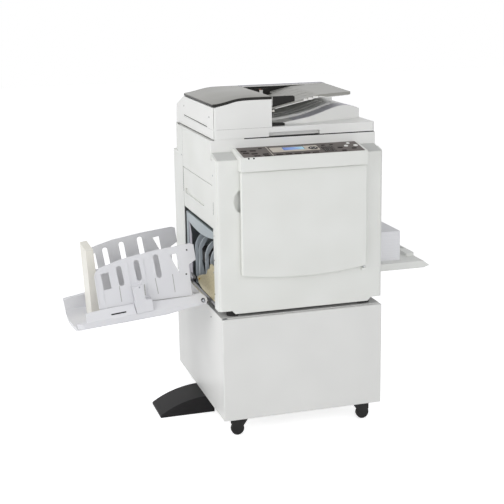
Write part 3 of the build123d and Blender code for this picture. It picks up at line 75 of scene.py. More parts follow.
def add_node(tree, kind, inputs=None, stops=(), **settings):
    """Add a shader node: its settings, its inputs set or linked, and the colour stops of a ramp."""
    node = tree.nodes.new(kind)
    for key, value in settings.items():
        setattr(node, key, value)
    for key, value in (inputs or {}).items():
        if isinstance(value, bpy.types.NodeSocket):
            tree.links.new(value, node.inputs[key])
        else:
            node.inputs[key].default_value = value
    for index, (position, code) in enumerate(stops):
        elements = node.color_ramp.elements
        if index >= len(elements):
            elements.new(position)
        elements[index].position = position
        elements[index].color = colour(code)
    return node


def new_material(name):
    """An empty node material with its tree and output."""
    material = bpy.data.materials.new(name)
    material.use_nodes = True
    tree = material.node_tree
    tree.nodes.clear()
    return material, tree, add_node(tree, "ShaderNodeOutputMaterial")


# How far apart the slow changes of tone lie on a moulded wall, and the index of the usual plastics
DRIFT_MM = 180.0
PLASTIC_IOR = 1.53


def moulded(name, light, dark, roughness, grain_mm=1.2, grain_depth=0.02, coat=0.0, shine=0.5):
    """A moulded or painted skin: a faint drift of tone over the wall, and a fine grain."""
    material, tree, output = new_material(name)
    where = add_node(tree, "ShaderNodeTexCoord")
    drift = add_node(
        tree,
        "ShaderNodeTexNoise",
        {"Vector": where.outputs["Object"], "Scale": 1000 / DRIFT_MM, "Detail": 1.0},
    )
    tone = add_node(
        tree,
        "ShaderNodeValToRGB",
        {"Fac": drift.outputs["Fac"]},
        stops=((0.3, dark), (0.7, light)),
    )
    grain = add_node(
        tree,
        "ShaderNodeTexNoise",
        {"Vector": where.outputs["Object"], "Scale": 1000 / grain_mm, "Detail": 2.0},
    )
    bump = add_node(
        tree,
        "ShaderNodeBump",
        {"Height": grain.outputs["Fac"], "Distance": mm(grain_depth)},
    )
    shader = add_node(
        tree,
        "ShaderNodeBsdfPrincipled",
        {
            "Base Color": tone.outputs["Color"],
            "Roughness": roughness,
            "IOR": PLASTIC_IOR,
            "Specular IOR Level": shine,
            "Coat Weight": coat,
            "Coat Roughness": 0.2,
            "Normal": bump.outputs["Normal"],
        },
    )
    tree.links.new(shader.outputs["BSDF"], output.inputs["Surface"])
    return material


def metal(name, light, dark, roughness, grain_mm, stretch=(1, 1, 1), metallic=1.0, depth=0.01):
    """Bare or plated sheet: tone and gloss follow the same grain, drawn out along stretch."""
    material, tree, output = new_material(name)
    where = add_node(tree, "ShaderNodeTexCoord")
    drawn = add_node(
        tree,
        "ShaderNodeMapping",
        {"Vector": where.outputs["Object"], "Scale": [1000 / grain_mm / s for s in stretch]},
    )
    grain = add_node(
        tree,
        "ShaderNodeTexNoise",
        {"Vector": drawn.outputs["Vector"], "Scale": 1.0, "Detail": 2.0},
    )
    tone = add_node(
        tree,
        "ShaderNodeValToRGB",
        {"Fac": grain.outputs["Fac"]},
        stops=((0.35, dark), (0.65, light)),
    )
    shine = add_node(
        tree,
        "ShaderNodeMapRange",
        {"Value": grain.outputs["Fac"], "To Min": roughness - 0.07, "To Max": roughness + 0.07},
    )
    bump = add_node(tree, "ShaderNodeBump", {"Height": grain.outputs["Fac"], "Distance": mm(depth)})
    shader = add_node(
        tree,
        "ShaderNodeBsdfPrincipled",
        {
            "Base Color": tone.outputs["Color"],
            "Metallic": metallic,
            "Roughness": shine.outputs["Result"],
            "Normal": bump.outputs["Normal"],
        },
    )
    tree.links.new(shader.outputs["BSDF"], output.inputs["Surface"])
    return material


# White ABS covers, spark-eroded mould: a dull even skin, its 0.3 mm grain drawn at 1.2 mm to show
ABS_WHITE = moulded("abs_white_spark_grain", "#e6e7e3", "#e0e1dc", 0.5)
# Warm white ABS of the scanner and lid, a little glossier from a polished mould
ABS_LID = moulded("abs_white_polished", "#e8e8e5", "#e3e3e0", 0.4, grain_depth=0.01)
# Cool white polystyrene of the delivery tray and its fences
STYRENE_TRAY = moulded("polystyrene_tray", "#dfdfe1", "#d9d9dc", 0.45)
# Yellowed white POM of the end fence and the feeder's release lever
POM_CREAM = moulded("pom_cream_moulded", "#e9e7df", "#e2dfd4", 0.42)
# Grey ABS with a satin film on the feeder's cover and document tray
ABS_GREY = moulded("abs_grey_satin", "#92918c", "#888780", 0.36, grain_depth=0.008, coat=0.05)
# Paler grey ABS of the document tray's ribs, ground matt so that sheets slide
ABS_GREY_PALE = moulded("abs_grey_ground", "#b3b2ae", "#a9a8a3", 0.5)
# Painted shade: light grey plates on the two shelves beside the panel, darker than the white covers
# because their tops get less light
SHELF_PAINTED_SHADE = moulded(
    "shelf_painted_shade_grey", "#cccdca", "#c4c5c2", 0.65, grain_mm=1.5, grain_depth=0.03, shine=0.3
)
# Lilac polyester film on the exit ramp, matt so that sheets slide; its lilac is its own, and it is
# painted lighter than the rail's lilac to make up for the shade under the document tray
FILM_LILAC_PAINTED_LIGHT = moulded("polyester_film_lilac_painted_light", "#c3c2ca", "#b7b6bf", 0.4)
# Lilac-grey ABS of the feeder's rear rail and of the post in the delivery opening
ABS_LILAC = moulded("abs_lilac_grey", "#a3a1aa", "#97959e", 0.38)
# Black edge moulding of the feeder's cover, its throat and the guides
ABS_BLACK = moulded("abs_black_satin", "#1b1a18", "#131210", 0.38, grain_depth=0.01, shine=0.2)
# Painted shade: black strips and dots that stand for the shade inside the gaps between covers and inside
# slots, vents, louvres and holes
GAP_SHADE_BLACK = moulded(
    "painted_gap_shade_black", "#2a2a28", "#1c1c1a", 0.9, grain_mm=2.0, grain_depth=0.1, shine=0.1
)
# Grey shade lines where two covers meet with a hair's gap
SEAM_GREY = moulded("seam_shadow_grey", "#a9a9a4", "#9c9c97", 0.7)
# Glass-filled nylon of the casters' forks
NYLON_BLACK = moulded("nylon_black_moulded", "#1c1b1b", "#131212", 0.5, shine=0.25)
# Black powder coat on the stabiliser foot, with the slight orange peel of the baked powder
POWDER_BLACK = moulded(
    "powder_coat_black", "#242324", "#1c1b1c", 0.5, grain_mm=3.0, grain_depth=0.03, shine=0.15
)
# White powder coat on the cabinet's sheet steel, orange peel of about 3 mm
POWDER_WHITE = moulded("powder_coat_white", "#e2e2df", "#dededb", 0.42, grain_mm=3.0)
# Blue-grey enamel of the bracket over the delivery opening, and a paler copy on the guides in it,
# lightened as painted light because the guides sit in shade deep in the opening
ENAMEL_BLUE = moulded("enamel_blue_grey", "#abb5b8", "#9fa9ad", 0.4, grain_mm=4.0, grain_depth=0.01)
ENAMEL_BLUE_PAINTED_LIGHT = moulded(
    "enamel_blue_grey_painted_light", "#cdd6dc", "#c1cbd2", 0.38, grain_mm=4.0, grain_depth=0.01
)
# Dark grey enamel of the base frame
ENAMEL_DARK = moulded(
    "enamel_dark_grey", "#6a6a6c", "#5f5f61", 0.45, grain_mm=4.0, grain_depth=0.01
)
# Galvanised plate under a warm passivated film, with spangles of 8 mm
GALVANISED = metal("galvanised_sheet_passivated", "#d3c9a6", "#bcb18d", 0.45, 8.0, metallic=0.35)
# Zinc-plated pins, rods and plates: fine drawn lines
ZINC = metal("zinc_plated_steel", "#c3c5c8", "#a9acb0", 0.3, 0.8, (1, 30, 1))
# Brass stud on the galvanised plate, turned
BRASS = metal("brass_turned", "#c9a04e", "#ad8438", 0.3, 0.6)
# Ground aluminium of the pressure cylinder
ALUMINIUM = metal("aluminium_ground", "#d4d5d7", "#bfc1c4", 0.28, 1.0, (30, 1, 1))
# Nitrile rubber of the rollers and feet, ground matt
NITRILE = moulded(
    "nitrile_rubber_ground", "#2b2a2a", "#211f20", 0.8, grain_mm=0.8, grain_depth=0.03
)
# Polyurethane tread of the wheels
TREAD = moulded("polyurethane_tread", "#1f1e1e", "#151414", 0.55, shine=0.25)
# Black ABS of the insides, which only show as dark depth; also the painted shade in the screws' cross
# recesses
BLACK_INSIDE_AND_RECESS_SHADE = moulded("abs_black_inside_and_recess_shade", "#151413", "#0d0c0c", 0.6)
# Smooth white silicone of the pale keys and small white marks, and the dark keys' charcoal one
SILICONE_WHITE = moulded("silicone_key_white", "#ecece8", "#e4e4e0", 0.45)
SILICONE_DARK = moulded("silicone_key_dark", "#241f1e", "#1b1716", 0.5, shine=0.2)
# Polycarbonate overlay of the operation panel, printed on its back: taupe under a clear satin film
OVERLAY = moulded(
    "polycarbonate_overlay", "#5f5854", "#554e4a", 0.42, grain_mm=0.6, grain_depth=0.004, shine=0.3
)
# The overlay's pale and rust-coloured prints
PRINT_PALE = moulded(
    "overlay_print_pale", "#cfc7bb", "#c5bdb1", 0.4, grain_mm=0.6, grain_depth=0.004
)
PRINT_RED = moulded(
    "overlay_print_rust", "#8a5f52", "#7c5347", 0.45, grain_mm=0.6, grain_depth=0.004
)


def cut_paper():
    """The stack's cut edges: sheets of 0.1 mm, drawn as layers of 1.5 mm so that they show."""
    material, tree, output = new_material("paper_cut_stack")
    where = add_node(tree, "ShaderNodeTexCoord")
    split = add_node(tree, "ShaderNodeSeparateXYZ", {"Vector": where.outputs["Object"]})
    layer = add_node(
        tree,
        "ShaderNodeTexNoise",
        {"W": split.outputs["Z"], "Scale": 1000 / 1.5, "Detail": 3.0},
        noise_dimensions="1D",
    )
    tone = add_node(
        tree,
        "ShaderNodeValToRGB",
        {"Fac": layer.outputs["Fac"]},
        stops=((0.25, "#e2e2e5"), (0.6, "#f1f1f3")),
    )
    bump = add_node(tree, "ShaderNodeBump", {"Height": layer.outputs["Fac"], "Distance": mm(0.15)})
    shader = add_node(
        tree,
        "ShaderNodeBsdfPrincipled",
        {
            "Base Color": tone.outputs["Color"],
            "Roughness": 0.85,
            "IOR": 1.5,
            "Normal": bump.outputs["Normal"],
        },
    )
    tree.links.new(shader.outputs["BSDF"], output.inputs["Surface"])
    return material


def stencil_screen():
    """Stainless screen of the print drum: woven wires of 0.3 mm, drawn at 2 mm."""
    material, tree, output = new_material("stainless_screen_woven")
    where = add_node(tree, "ShaderNodeTexCoord")
    cell = add_node(
        tree,
        "ShaderNodeTexVoronoi",
        {"Vector": where.outputs["Object"], "Scale": 1000 / 2.0},
    )
    tone = add_node(
        tree,
        "ShaderNodeValToRGB",
        {"Fac": cell.outputs["Distance"]},
        stops=((0.2, "#2c2d30"), (0.7, "#85888d")),
    )
    bump = add_node(
        tree,
        "ShaderNodeBump",
        {"Height": cell.outputs["Distance"], "Distance": mm(0.2)},
    )
    shader = add_node(
        tree,
        "ShaderNodeBsdfPrincipled",
        {
            "Base Color": tone.outputs["Color"],
            "Metallic": 0.9,
            "Roughness": 0.4,
            "Normal": bump.outputs["Normal"],
        },
    )
    tree.links.new(shader.outputs["BSDF"], output.inputs["Surface"])
    return material


def float_glass():
    """Platen glass: clear, with the green of its edges."""
    material, tree, output = new_material("float_glass")
    shader = add_node(
        tree,
        "ShaderNodeBsdfPrincipled",
        {
            "Base Color": colour("#d9e8e2"),
            "Roughness": 0.02,
            "IOR": 1.52,
            "Transmission Weight": 0.9,
        },
    )
    tree.links.new(shader.outputs["BSDF"], output.inputs["Surface"])
    return material


def liquid_crystal():
    """Backlit display: blue at its left end, cyan at its right, with its own faint light."""
    material, tree, output = new_material("liquid_crystal_backlit")
    low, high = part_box("lcd_display")
    where = add_node(tree, "ShaderNodeTexCoord")
    split = add_node(tree, "ShaderNodeSeparateXYZ", {"Vector": where.outputs["Object"]})
    across = add_node(
        tree,
        "ShaderNodeMapRange",
        {"Value": split.outputs["X"], "From Min": low.x, "From Max": high.x},
    )
    tone = add_node(
        tree,
        "ShaderNodeValToRGB",
        {"Fac": across.outputs["Result"]},
        stops=((0.0, "#5f7fd0"), (0.55, "#86a8e4"), (1.0, "#a8dcea")),
    )
    shader = add_node(
        tree,
        "ShaderNodeBsdfPrincipled",
        {
            "Base Color": tone.outputs["Color"],
            "Roughness": 0.2,
            "IOR": 1.5,
            "Emission Color": tone.outputs["Color"],
            "Emission Strength": 0.15,
        },
    )
    tree.links.new(shader.outputs["BSDF"], output.inputs["Surface"])
    return material


PAPER = cut_paper()
SCREEN = stencil_screen()
GLASS = float_glass()
DISPLAY = liquid_crystal()

# Finishes of the solids

FINISHES = {
    ABS_WHITE: (
        "front_cover",
        "front_door",
        "left_cover",
        "right_cover",
        "rear_cover",
        "master_eject_door",
        "panel_housing",
        "feed_tray",
    ),
    ABS_LID: ("scanner_housing", "platen_cover", "feeder_housing", "exit_tray", "platen_sheet"),
    STYRENE_TRAY: (
        "delivery_tray",
        "near_side_fence",
        "far_side_fence",
        "front_feed_guide",
        "rear_feed_guide",
    ),
    POM_CREAM: ("end_fence",),
    ABS_GREY: ("feeder_cover", "document_tray"),
    ABS_BLACK: ("front_document_guide", "rear_document_guide", "power_inlet"),
    NYLON_BLACK: tuple(n for n in nodes if n.startswith("caster_fork")),
    TREAD: tuple(n for n in nodes if n.startswith("caster_wheel")),
    POWDER_BLACK: ("stabiliser_foot",),
    POWDER_WHITE: ("cabinet_shell", "cabinet_door"),
    ENAMEL_BLUE: ("delivery_bracket", "rear_side_plate"),
    # The guides take the enamel lightened with painted light
    ENAMEL_BLUE_PAINTED_LIGHT: ("delivery_guides",),
    ENAMEL_DARK: ("base_frame",),
    GALVANISED: ("front_side_plate",),
    ZINC: ("caster_plates", "hinge_pins", "scan_rails"),
    ALUMINIUM: ("pressure_cylinder",),
    NITRILE: ("body_feet", "pickup_roller", "feeder_rollers"),
    BLACK_INSIDE_AND_RECESS_SHADE: ("delivery_belt_unit", "scan_carriage"),
    SILICONE_WHITE: ("start_key", "stop_key", "proof_key"),
    SILICONE_DARK: ("number_keys", "cursor_pad"),
    OVERLAY: ("panel_face",),
    PAPER: ("paper_stack", "master_roll"),
    SCREEN: ("print_drum",),
    GLASS: ("exposure_glass",),
    DISPLAY: ("lcd_display",),
}

for finish, names in FINISHES.items():
    for node_name in names:
        solid = nodes[node_name]
        solid.data.materials.clear()
        solid.data.materials.append(finish)

# Making pieces


def board(origin, along, up):
    """A flat place on the machine at origin: x along, y up, z out of the surface."""
    along = Vector(along).normalized()
    up = Vector(up).normalized()
    turn = Matrix((along, up, along.cross(up))).transposed().to_4x4()
    return Matrix.Translation(place(*origin)) @ turn


def front_board(y):
    """Upright board that faces the front: x to the right, y up."""
    return board((0, y, 0), (1, 0, 0), (0, 0, 1))


def left_board(x):
    """Upright board that faces the left: x towards the front, y up."""
    return board((x, 0, 0), (0, -1, 0), (0, 0, 1))


def right_board(x):
    """Upright board that faces the right: x towards the back, y up."""
    return board((x, 0, 0), (0, 1, 0), (0, 0, 1))


def back_board(y):
    """Upright board that faces the back: x to the machine's left, y up."""
    return board((0, y, 0), (-1, 0, 0), (0, 0, 1))


def top_board(z):
    """Level board: x to the right, y to the back."""
    return board((0, 0, z), (1, 0, 0), (0, 1, 0))


def rectangle(x0, y0, x1, y1):
    """Outline of a sharp-cornered plate."""
    return [(x0, y0), (x1, y0), (x1, y1), (x0, y1)]


# Steps of a round corner, and of a small turned piece
CORNER_STEPS = 4
TURN_STEPS = 20


def rounded(x0, y0, x1, y1, radius):
    """Outline of a plate with round corners."""
    corners = ((x1 - radius, y1 - radius), (x0 + radius, y1 - radius), (x0 + radius, y0 + radius))
    corners += ((x1 - radius, y0 + radius),)
    points = []
    for turn, (x, y) in enumerate(corners):
        for step in range(CORNER_STEPS + 1):
            angle = (turn + step / CORNER_STEPS) * pi / 2
            points.append((x + radius * cos(angle), y + radius * sin(angle)))
    return points


def stripe(x0, y0, x1, y1, width):
    """Outline of a straight line of the given width between two points."""
    across = Vector((y0 - y1, x1 - x0)).normalized() * (width / 2)
    return [
        (x0 - across.x, y0 - across.y),
        (x1 - across.x, y1 - across.y),
        (x1 + across.x, y1 + across.y),
        (x0 + across.x, y0 + across.y),
    ]


def cross_slot(x, y, reach, half):
    """Outline of a screw's cross recess."""
    arm = [(reach, -half), (reach, half), (half, half)]
    points = []
    for turn in range(4):
        c, s = cos(turn * pi / 2), sin(turn * pi / 2)
        points += [(x + c * a - s * b, y + s * a + c * b) for a, b in arm]
    return points


def add_ring(mesh, where, outline, height):
    """The outline's points on the board, height millimetres out of it."""
    return [mesh.verts.new(where @ Vector((mm(x), mm(y), mm(height)))) for x, y in outline]


def bridge(mesh, first, second):
    """A band of faces between two rings of points."""
    count = len(first)
    for i in range(count):
        j = (i + 1) % count
        mesh.faces.new((first[i], first[j], second[j], second[i]))


def finish_piece(name, mesh, finish, body, bevel=0.0, smooth=False):
    """Turn the bmesh into a piece that rides on its body and takes the given finish."""
    bmesh.ops.recalc_face_normals(mesh, faces=mesh.faces)
    data = bpy.data.meshes.new(name)
    mesh.to_mesh(data)
    mesh.free()
    for material in finish if isinstance(finish, tuple) else (finish,):
        data.materials.append(material)
    if smooth:
        data.shade_smooth()
        data.set_sharp_from_angle(angle=radians(40))
    piece = bpy.data.objects.new(name, data)
    bpy.context.scene.collection.objects.link(piece)
    if bevel:
        edge = piece.modifiers.new("edge", "BEVEL")
        edge.width = mm(bevel)
        edge.segments = 2
        edge.limit_method = "ANGLE"
        edge.angle_limit = radians(50)
    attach(piece, body)
    return piece


def plates(name, where, outlines, rise, finish, body, sink=0.4, bevel=0.0):
    """Flat plates on one board, sunk a little into it; an (outer, inner) pair leaves a window."""
    mesh = bmesh.new()
    for outline in outlines:
        if isinstance(outline, tuple):
            outer_low, outer_high, inner_low, inner_high = [
                add_ring(mesh, where, loop, height) for loop in outline for height in (-sink, rise)
            ]
            bridge(mesh, outer_low, outer_high)
            bridge(mesh, inner_high, inner_low)
            bridge(mesh, inner_low, outer_low)
            bridge(mesh, outer_high, inner_high)
        else:
            low = add_ring(mesh, where, outline, -sink)
            high = add_ring(mesh, where, outline, rise)
            bridge(mesh, low, high)
            mesh.faces.new(low)
            mesh.faces.new(high)
    return finish_piece(name, mesh, finish, body, bevel)


def turned(name, where, spots, profile, finish, body):
    """Small turned pieces: a profile of (radius, height) spun round each spot of the board."""
    mesh = bmesh.new()
    for x, y in spots:
        rings = []
        for radius, height in profile:
            angles = [2 * pi * i / TURN_STEPS for i in range(TURN_STEPS)]
            circle = [(x + radius * cos(a), y + radius * sin(a)) for a in angles]
            rings.append(add_ring(mesh, where, circle, height))
        for first, second in zip(rings, rings[1:]):
            bridge(mesh, first, second)
        mesh.faces.new(rings[0])
        mesh.faces.new(rings[-1])
    return finish_piece(name, mesh, finish, body)


# Heights of a pan-head screw: sunk part, rim, shoulder and top, and those of its recess, drawn as a black
# cross of painted shade
SCREW_SINK, SCREW_RIM, SCREW_SHOULDER, SCREW_TOP = 0.5, 0.5, 1.1, 1.4
RECESS_LOW, RECESS_HIGH = 1.2, 1.45


def screws(name, where, spots, radius, body):
    """Zinc-plated pan-head screws on one board, whose cross recess is a black cross of painted shade."""
    head = (
        (radius, -SCREW_SINK),
        (radius, SCREW_RIM),
        (radius * 0.85, SCREW_SHOULDER),
        (radius * 0.45, SCREW_TOP),
    )
    turned(name, where, spots, head, ZINC, body)
    slots = [cross_slot(x, y, radius * 0.42, radius * 0.12) for x, y in spots]
    plates(
        name + "_recess_shade", where, slots, RECESS_HIGH, BLACK_INSIDE_AND_RECESS_SHADE, body, -RECESS_LOW
    )


def lettering(name, where, words, height, finish, body):
    """Generic figures printed on keys: each (text, x, y) is centred on its spot."""
    mesh = bmesh.new()
    for text, x, y in words:
        curve = bpy.data.curves.new(name + "_outline", "FONT")
        curve.body = text
        curve.size = mm(height)
        curve.extrude = mm(0.08)
        curve.align_x = "CENTER"
        curve.align_y = "CENTER"
        outline = bpy.data.objects.new(name + "_outline", curve)
        data = bpy.data.meshes.new_from_object(outline)
        data.transform(where @ Matrix.Translation((mm(x), mm(y), 0)))
        mesh.from_mesh(data)
        bpy.data.objects.remove(outline)
        bpy.data.meshes.remove(data)
        bpy.data.curves.remove(curve)
    bmesh.ops.remove_doubles(mesh, verts=mesh.verts, dist=mm(0.001))
    return finish_piece(name, mesh, finish, body)


def lofted(name, sections, finish, body, banding=None, smooth=False):
    """A closed skin through sections of machine points; banding gives each band its material."""
    mesh = bmesh.new()
    rings = [[mesh.verts.new(place(*point)) for point in section] for section in sections]
    for first, second in zip(rings, rings[1:]):
        count = len(first)
        for i in range(count):
            j = (i + 1) % count
            face = mesh.faces.new((first[i], first[j], second[j], second[i]))
            face.material_index = banding[i] if banding else 0
    for ring in (rings[0], rings[-1]):
        end = mesh.faces.new(ring)
        end.material_index = max(banding) if banding else 0
    return finish_piece(name, mesh, finish, body, smooth=smooth)


# A ray starts this far above or below the feeder's own height
FEEDER_HEIGHT, RAY_START = 1200, 700


def top_of(name, x, y, side=1):
    """Height in millimetres of a feeder part's top at a point, or of its underside with side -1."""
    start = place(x, y, FEEDER_HEIGHT + RAY_START * side)
    hit, point, _, _ = nodes[name].ray_cast(start, (0, 0, -side))
    if not hit:
        raise ValueError(f"nothing of {name} at {x}, {y}")
    return point.z * 1000


# Feeder: its cover, throat, rail and trays

COVER_LEFT, COVER_RIGHT, COVER_FRONT, COVER_BACK = -303, -85, -261, 188
COVER_CORNER = 12
COVER_DEPTH = 10
COVER_GAP = 0.15
COVER_SPACING = 8
# The rounded top edge: its reach and the drop at its rim, and those of the point half way round
EDGE_REACH, EDGE_DROP = 2.5, 2.5
EDGE_HALF_REACH, EDGE_HALF_DROP = 0.8, 0.7
# The solid's crown is in facets, so heights are averaged over this distance to either side
CROWN_SPREAD, CROWN_STEP = 24, 4


def on_cover(x):
    """The nearest x at which the cover's and the feeder box's tops can be found."""
    return min(max(x, COVER_LEFT + 3), COVER_RIGHT - 1)


def cover_section(x, drop):
    """The cover's outline across the feeder at x, its top lowered by drop."""
    shifts = range(-CROWN_SPREAD, CROWN_SPREAD + 1, CROWN_STEP)
    crown = [top_of("feeder_cover", on_cover(x + shift), 0) for shift in shifts]
    top = sum(crown) / len(crown)
    low = max(top - COVER_DEPTH, top_of("feeder_housing", on_cover(x), 0) + COVER_GAP)
    reach = max(COVER_LEFT + COVER_CORNER - x, 0)
    pull = COVER_CORNER - sqrt(COVER_CORNER**2 - reach**2)
    front, back = COVER_FRONT + pull, COVER_BACK - pull / 3
    half = top - max(drop, EDGE_HALF_DROP)
    return [
        (x, front, low),
        (x, front, top - EDGE_DROP),
        (x, front + EDGE_HALF_REACH, half),
        (x, front + EDGE_REACH, top - drop),
        (x, back - EDGE_REACH, top - drop),
        (x, back - EDGE_HALF_REACH, half),
        (x, back, top - EDGE_DROP),
        (x, back, low),
    ]


def feeder_cover_skin():
    """The feeder's cover: a grey crowned top in a black edge moulding, with round outer corners."""
    sections = [
        cover_section(COVER_LEFT, EDGE_DROP),
        cover_section(COVER_LEFT + EDGE_HALF_REACH, EDGE_HALF_DROP),
    ]
    places = [COVER_LEFT + EDGE_REACH, COVER_LEFT + 6, COVER_LEFT + 10]
    places += range(COVER_LEFT + COVER_CORNER, COVER_RIGHT - 4, COVER_SPACING)
    sections += [cover_section(x, 0) for x in [*places, COVER_RIGHT]]
    skin = lofted(
        "feeder_cover_skin",
        sections,
        (ABS_GREY, ABS_BLACK),
        "feeder_cover",
        banding=(1, 1, 0, 0, 0, 1, 1, 1),
        smooth=True,
    )
    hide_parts("feeder_cover")


feeder_cover_skin()
RAIL_FACE = front_board(146)
plates(
    "throat_plate",
    RAIL_FACE,
    [rectangle(-84, 1206, 267, 1253)],
    0.6,
    ABS_BLACK,
    "lid",
)
plates(
    "rail_cap",
    top_board(1257),
    [rounded(-84, 147, 267, 187, 3)],
    0.5,
    ABS_LILAC,
    "lid",
)
plates(
    "throat_stop",
    top_board(1146),
    [rounded(-84, -238, -26, -208, 8)],
    9,
    ABS_BLACK,
    "lid",
    bevel=2.0,
)
LEVER = ((3.2, -1), (3.2, 9), (4.8, 9.3), (4.8, 11.6), (4.2, 12.2))
turned("release_lever", right_board(-85), [(-250, 1203)], LEVER, POM_CREAM, "lid")
GUIDE_FACE = front_board(103)
plates(
    "size_flag",
    GUIDE_FACE,
    [rectangle(-19, 1229, -5, 1243)],
    1.0,
    SILICONE_WHITE,
    "rear_document_guide",
)
plates(
    "size_flag_tip",
    GUIDE_FACE,
    [rectangle(-21, 1243, -11, 1248)],
    1.0,
    PRINT_RED,
    "rear_document_guide",
)

DOCUMENT_SLOPE = radians(11.97)
DOCUMENT_BED = board((-76, 0, 1208), (cos(DOCUMENT_SLOPE), 0, sin(DOCUMENT_SLOPE)), (0, 1, 0))
BED_RIBS = [rounded(110, y - 1.3, 194, y + 1.3, 1.2) for y in (-150, -90, -30, 30, 90)]
plates(
    "document_bed_ribs",
    DOCUMENT_BED,
    BED_RIBS,
    0.8,
    ABS_GREY_PALE,
    "document_tray",
)
TABS = [
    rectangle(56, 1229, 70, 1236.5),
    rectangle(74, 1232, 90, 1240),
    rectangle(93, 1236.5, 112, 1244),
]
plates(
    "tray_edge_tabs",
    front_board(-206),
    TABS,
    0.8,
    SILICONE_WHITE,
    "document_tray",
)

# The lining's outline across the tray, as (y, height from the tray's underside), and where it is measured
LINING_OUTLINE = ((-207, -2.4), (132, -2.4), (132, 0.3), (-205.5, 0.3), (-207, 0.3))
LINING_PLACES = range(-54, 239, 6)
LINING_LINE = -150


def document_tray_lining():
    """White lining under the document tray, whose lip shows along the front edge."""
    sections = []
    for x in LINING_PLACES:
        low = top_of("document_tray", x, LINING_LINE, -1)
        sections.append([(x, y, low + height) for y, height in LINING_OUTLINE])
    lofted("document_tray_lining", sections, ABS_LID, "document_tray")


document_tray_lining()

# The exit ramp's front edge: straight to the cut, which runs back by its depth over its length
EXIT_FRONT, CUT_FRONT, CUT_START, CUT_LENGTH, CUT_DEPTH = -199, -196, 76, 230.5, 65
STRIP_SINK = 0.5


def exit_front(x):
    """The exit ramp's front edge at x, which is cut back towards its right end."""
    if x < CUT_START:
        return EXIT_FRONT
    return CUT_FRONT + (x - CUT_START) * CUT_DEPTH / CUT_LENGTH


def exit_strip(name, places, near, far, height, finish):
    """A strip that lies on the exit ramp, between two distances from its front edge."""
    sections = []
    for x in places:
        front, back = exit_front(x) + near, exit_front(x) + far
        low = top_of("exit_tray", x, front), top_of("exit_tray", x, back)
        sections.append(
            [
                (x, front, low[0] - STRIP_SINK),
                (x, back, low[1] - STRIP_SINK),
                (x, back, low[1] + height),
                (x, front, low[0] + height),
            ]
        )
    lofted(name, sections, finish, "lid", smooth=True)


# The lilac band, painted lighter to make up for the shade under the document tray
exit_strip("exit_ramp_film", range(20, 297, 6), 3, 76, 0.4, FILM_LILAC_PAINTED_LIGHT)
exit_strip("exit_ramp_rib", range(-60, 211, 6), 80, 83, 8, ABS_LID)
for number, near in enumerate((130, 175, 220), 1):
    exit_strip(f"exit_bed_rib_{number}", range(-50, 211, 10), near, near + 2.5, 2, ABS_LID)

# Operation panel

SLOPE = radians(10.408)
PANEL = board((0, -328, 1070), (1, 0, 0), (0, cos(SLOPE), sin(SLOPE)))
KEY_RISE = 1.1
KEY_TOP = PANEL @ Matrix.Translation((0, 0, mm(KEY_RISE)))


def keys(spots, width, depth):
    """Outlines of equal keys, each with its middle on a spot."""
    w, d = width / 2, depth / 2
    return [rounded(x - w, y - d, x + w, y + d, min(w, d) * 0.35) for x, y in spots]


JOB_KEYS = ((-210, 13), (-175, 13), (-207, -8), (-178, -19), (-140, -29), (-175, -43), (-139, -47))
BATCH_KEYS = ((199, -22), (150, -7), (154, -40))
SMALL_KEYS = ((-143, 32), (96, 28), (128, 28.7))
FUNCTION_KEYS = ((-92, -42), (-58, -42), (-24, -42), (10, -42), (44, -42))
KEY_OUTLINES = keys(JOB_KEYS, 22, 9) + keys(BATCH_KEYS, 18, 9) + keys(SMALL_KEYS, 13, 6)
KEY_OUTLINES += keys(FUNCTION_KEYS, 25, 6.5)
plates("function_keys", PANEL, KEY_OUTLINES, 1.5, SILICONE_DARK, "machine", bevel=0.5)
plates(
    "display_bezel",
    PANEL,
    [(rounded(-109, -17, 71, 33, 4), rounded(-63, -1, 19, 31, 4))],
    0.5,
    PRINT_PALE,
    "machine",
)
plates(
    "overlay_divider",
    PANEL,
    [rectangle(-118.3, -49, -115.7, 49)],
    0.25,
    PRINT_PALE,
    "machine",
)
plates(
    "overlay_rear_strip",
    top_board(1077.5),
    [rounded(-225, -279, 232, -263.5, 3)],
    0.3,
    OVERLAY,
    "machine",
)
# The first number key's middle, and the pitch of the columns and rows
NUMBER_X, NUMBER_Y, NUMBER_PITCH_X, NUMBER_PITCH_Y = 87.5, 6, 15.5, 14
NUMBERS = [
    (text, NUMBER_X + NUMBER_PITCH_X * column, NUMBER_Y - NUMBER_PITCH_Y * row)
    for row, line in enumerate(("123", "456", "789", "*0#"))
    for column, text in enumerate(line)
]
lettering("key_numbers", KEY_TOP, NUMBERS, 6.5, SILICONE_WHITE, "number_keys")
ARROWS = [
    [(37, 5), (43, 0), (43, 10)],
    [(63, 5), (57, 0), (57, 10)],
    [(50, 16), (45, 11), (55, 11)],
    [(50, -6), (45, -1), (55, -1)],
]
plates("cursor_arrows", KEY_TOP, ARROWS, 0.1, SILICONE_WHITE, "cursor_pad", sink=0.6)
FASCIA = board((0, -379.2, 1056), (1, 0, 0), (0, 0.56, 0.83))
BUTTON = ((3.2, -0.5), (3.2, 0.5), (2.6, 0.9))
FASCIA_SPOTS = [(-209.7, 0), (-190.9, -0.6)]
turned("fascia_buttons", FASCIA, FASCIA_SPOTS, BUTTON, SILICONE_DARK, "machine")

# Covers: seams, gaps and fasteners

# Painted shade: a black strip in the side door's gap
plates(
    "side_door_gap",
    left_board(-318),
    [rectangle(-171.9, 852, -168.6, 951)],
    0.3,
    GAP_SHADE_BLACK,
    "machine",
)
plates(
    "left_cover_seam",
    left_board(-318),
    [rectangle(-171.6, 951, -170.4, 1107)],
    0.2,
    SEAM_GREY,
    "machine",
)
FRONT_COVER_SIDE = left_board(-320)
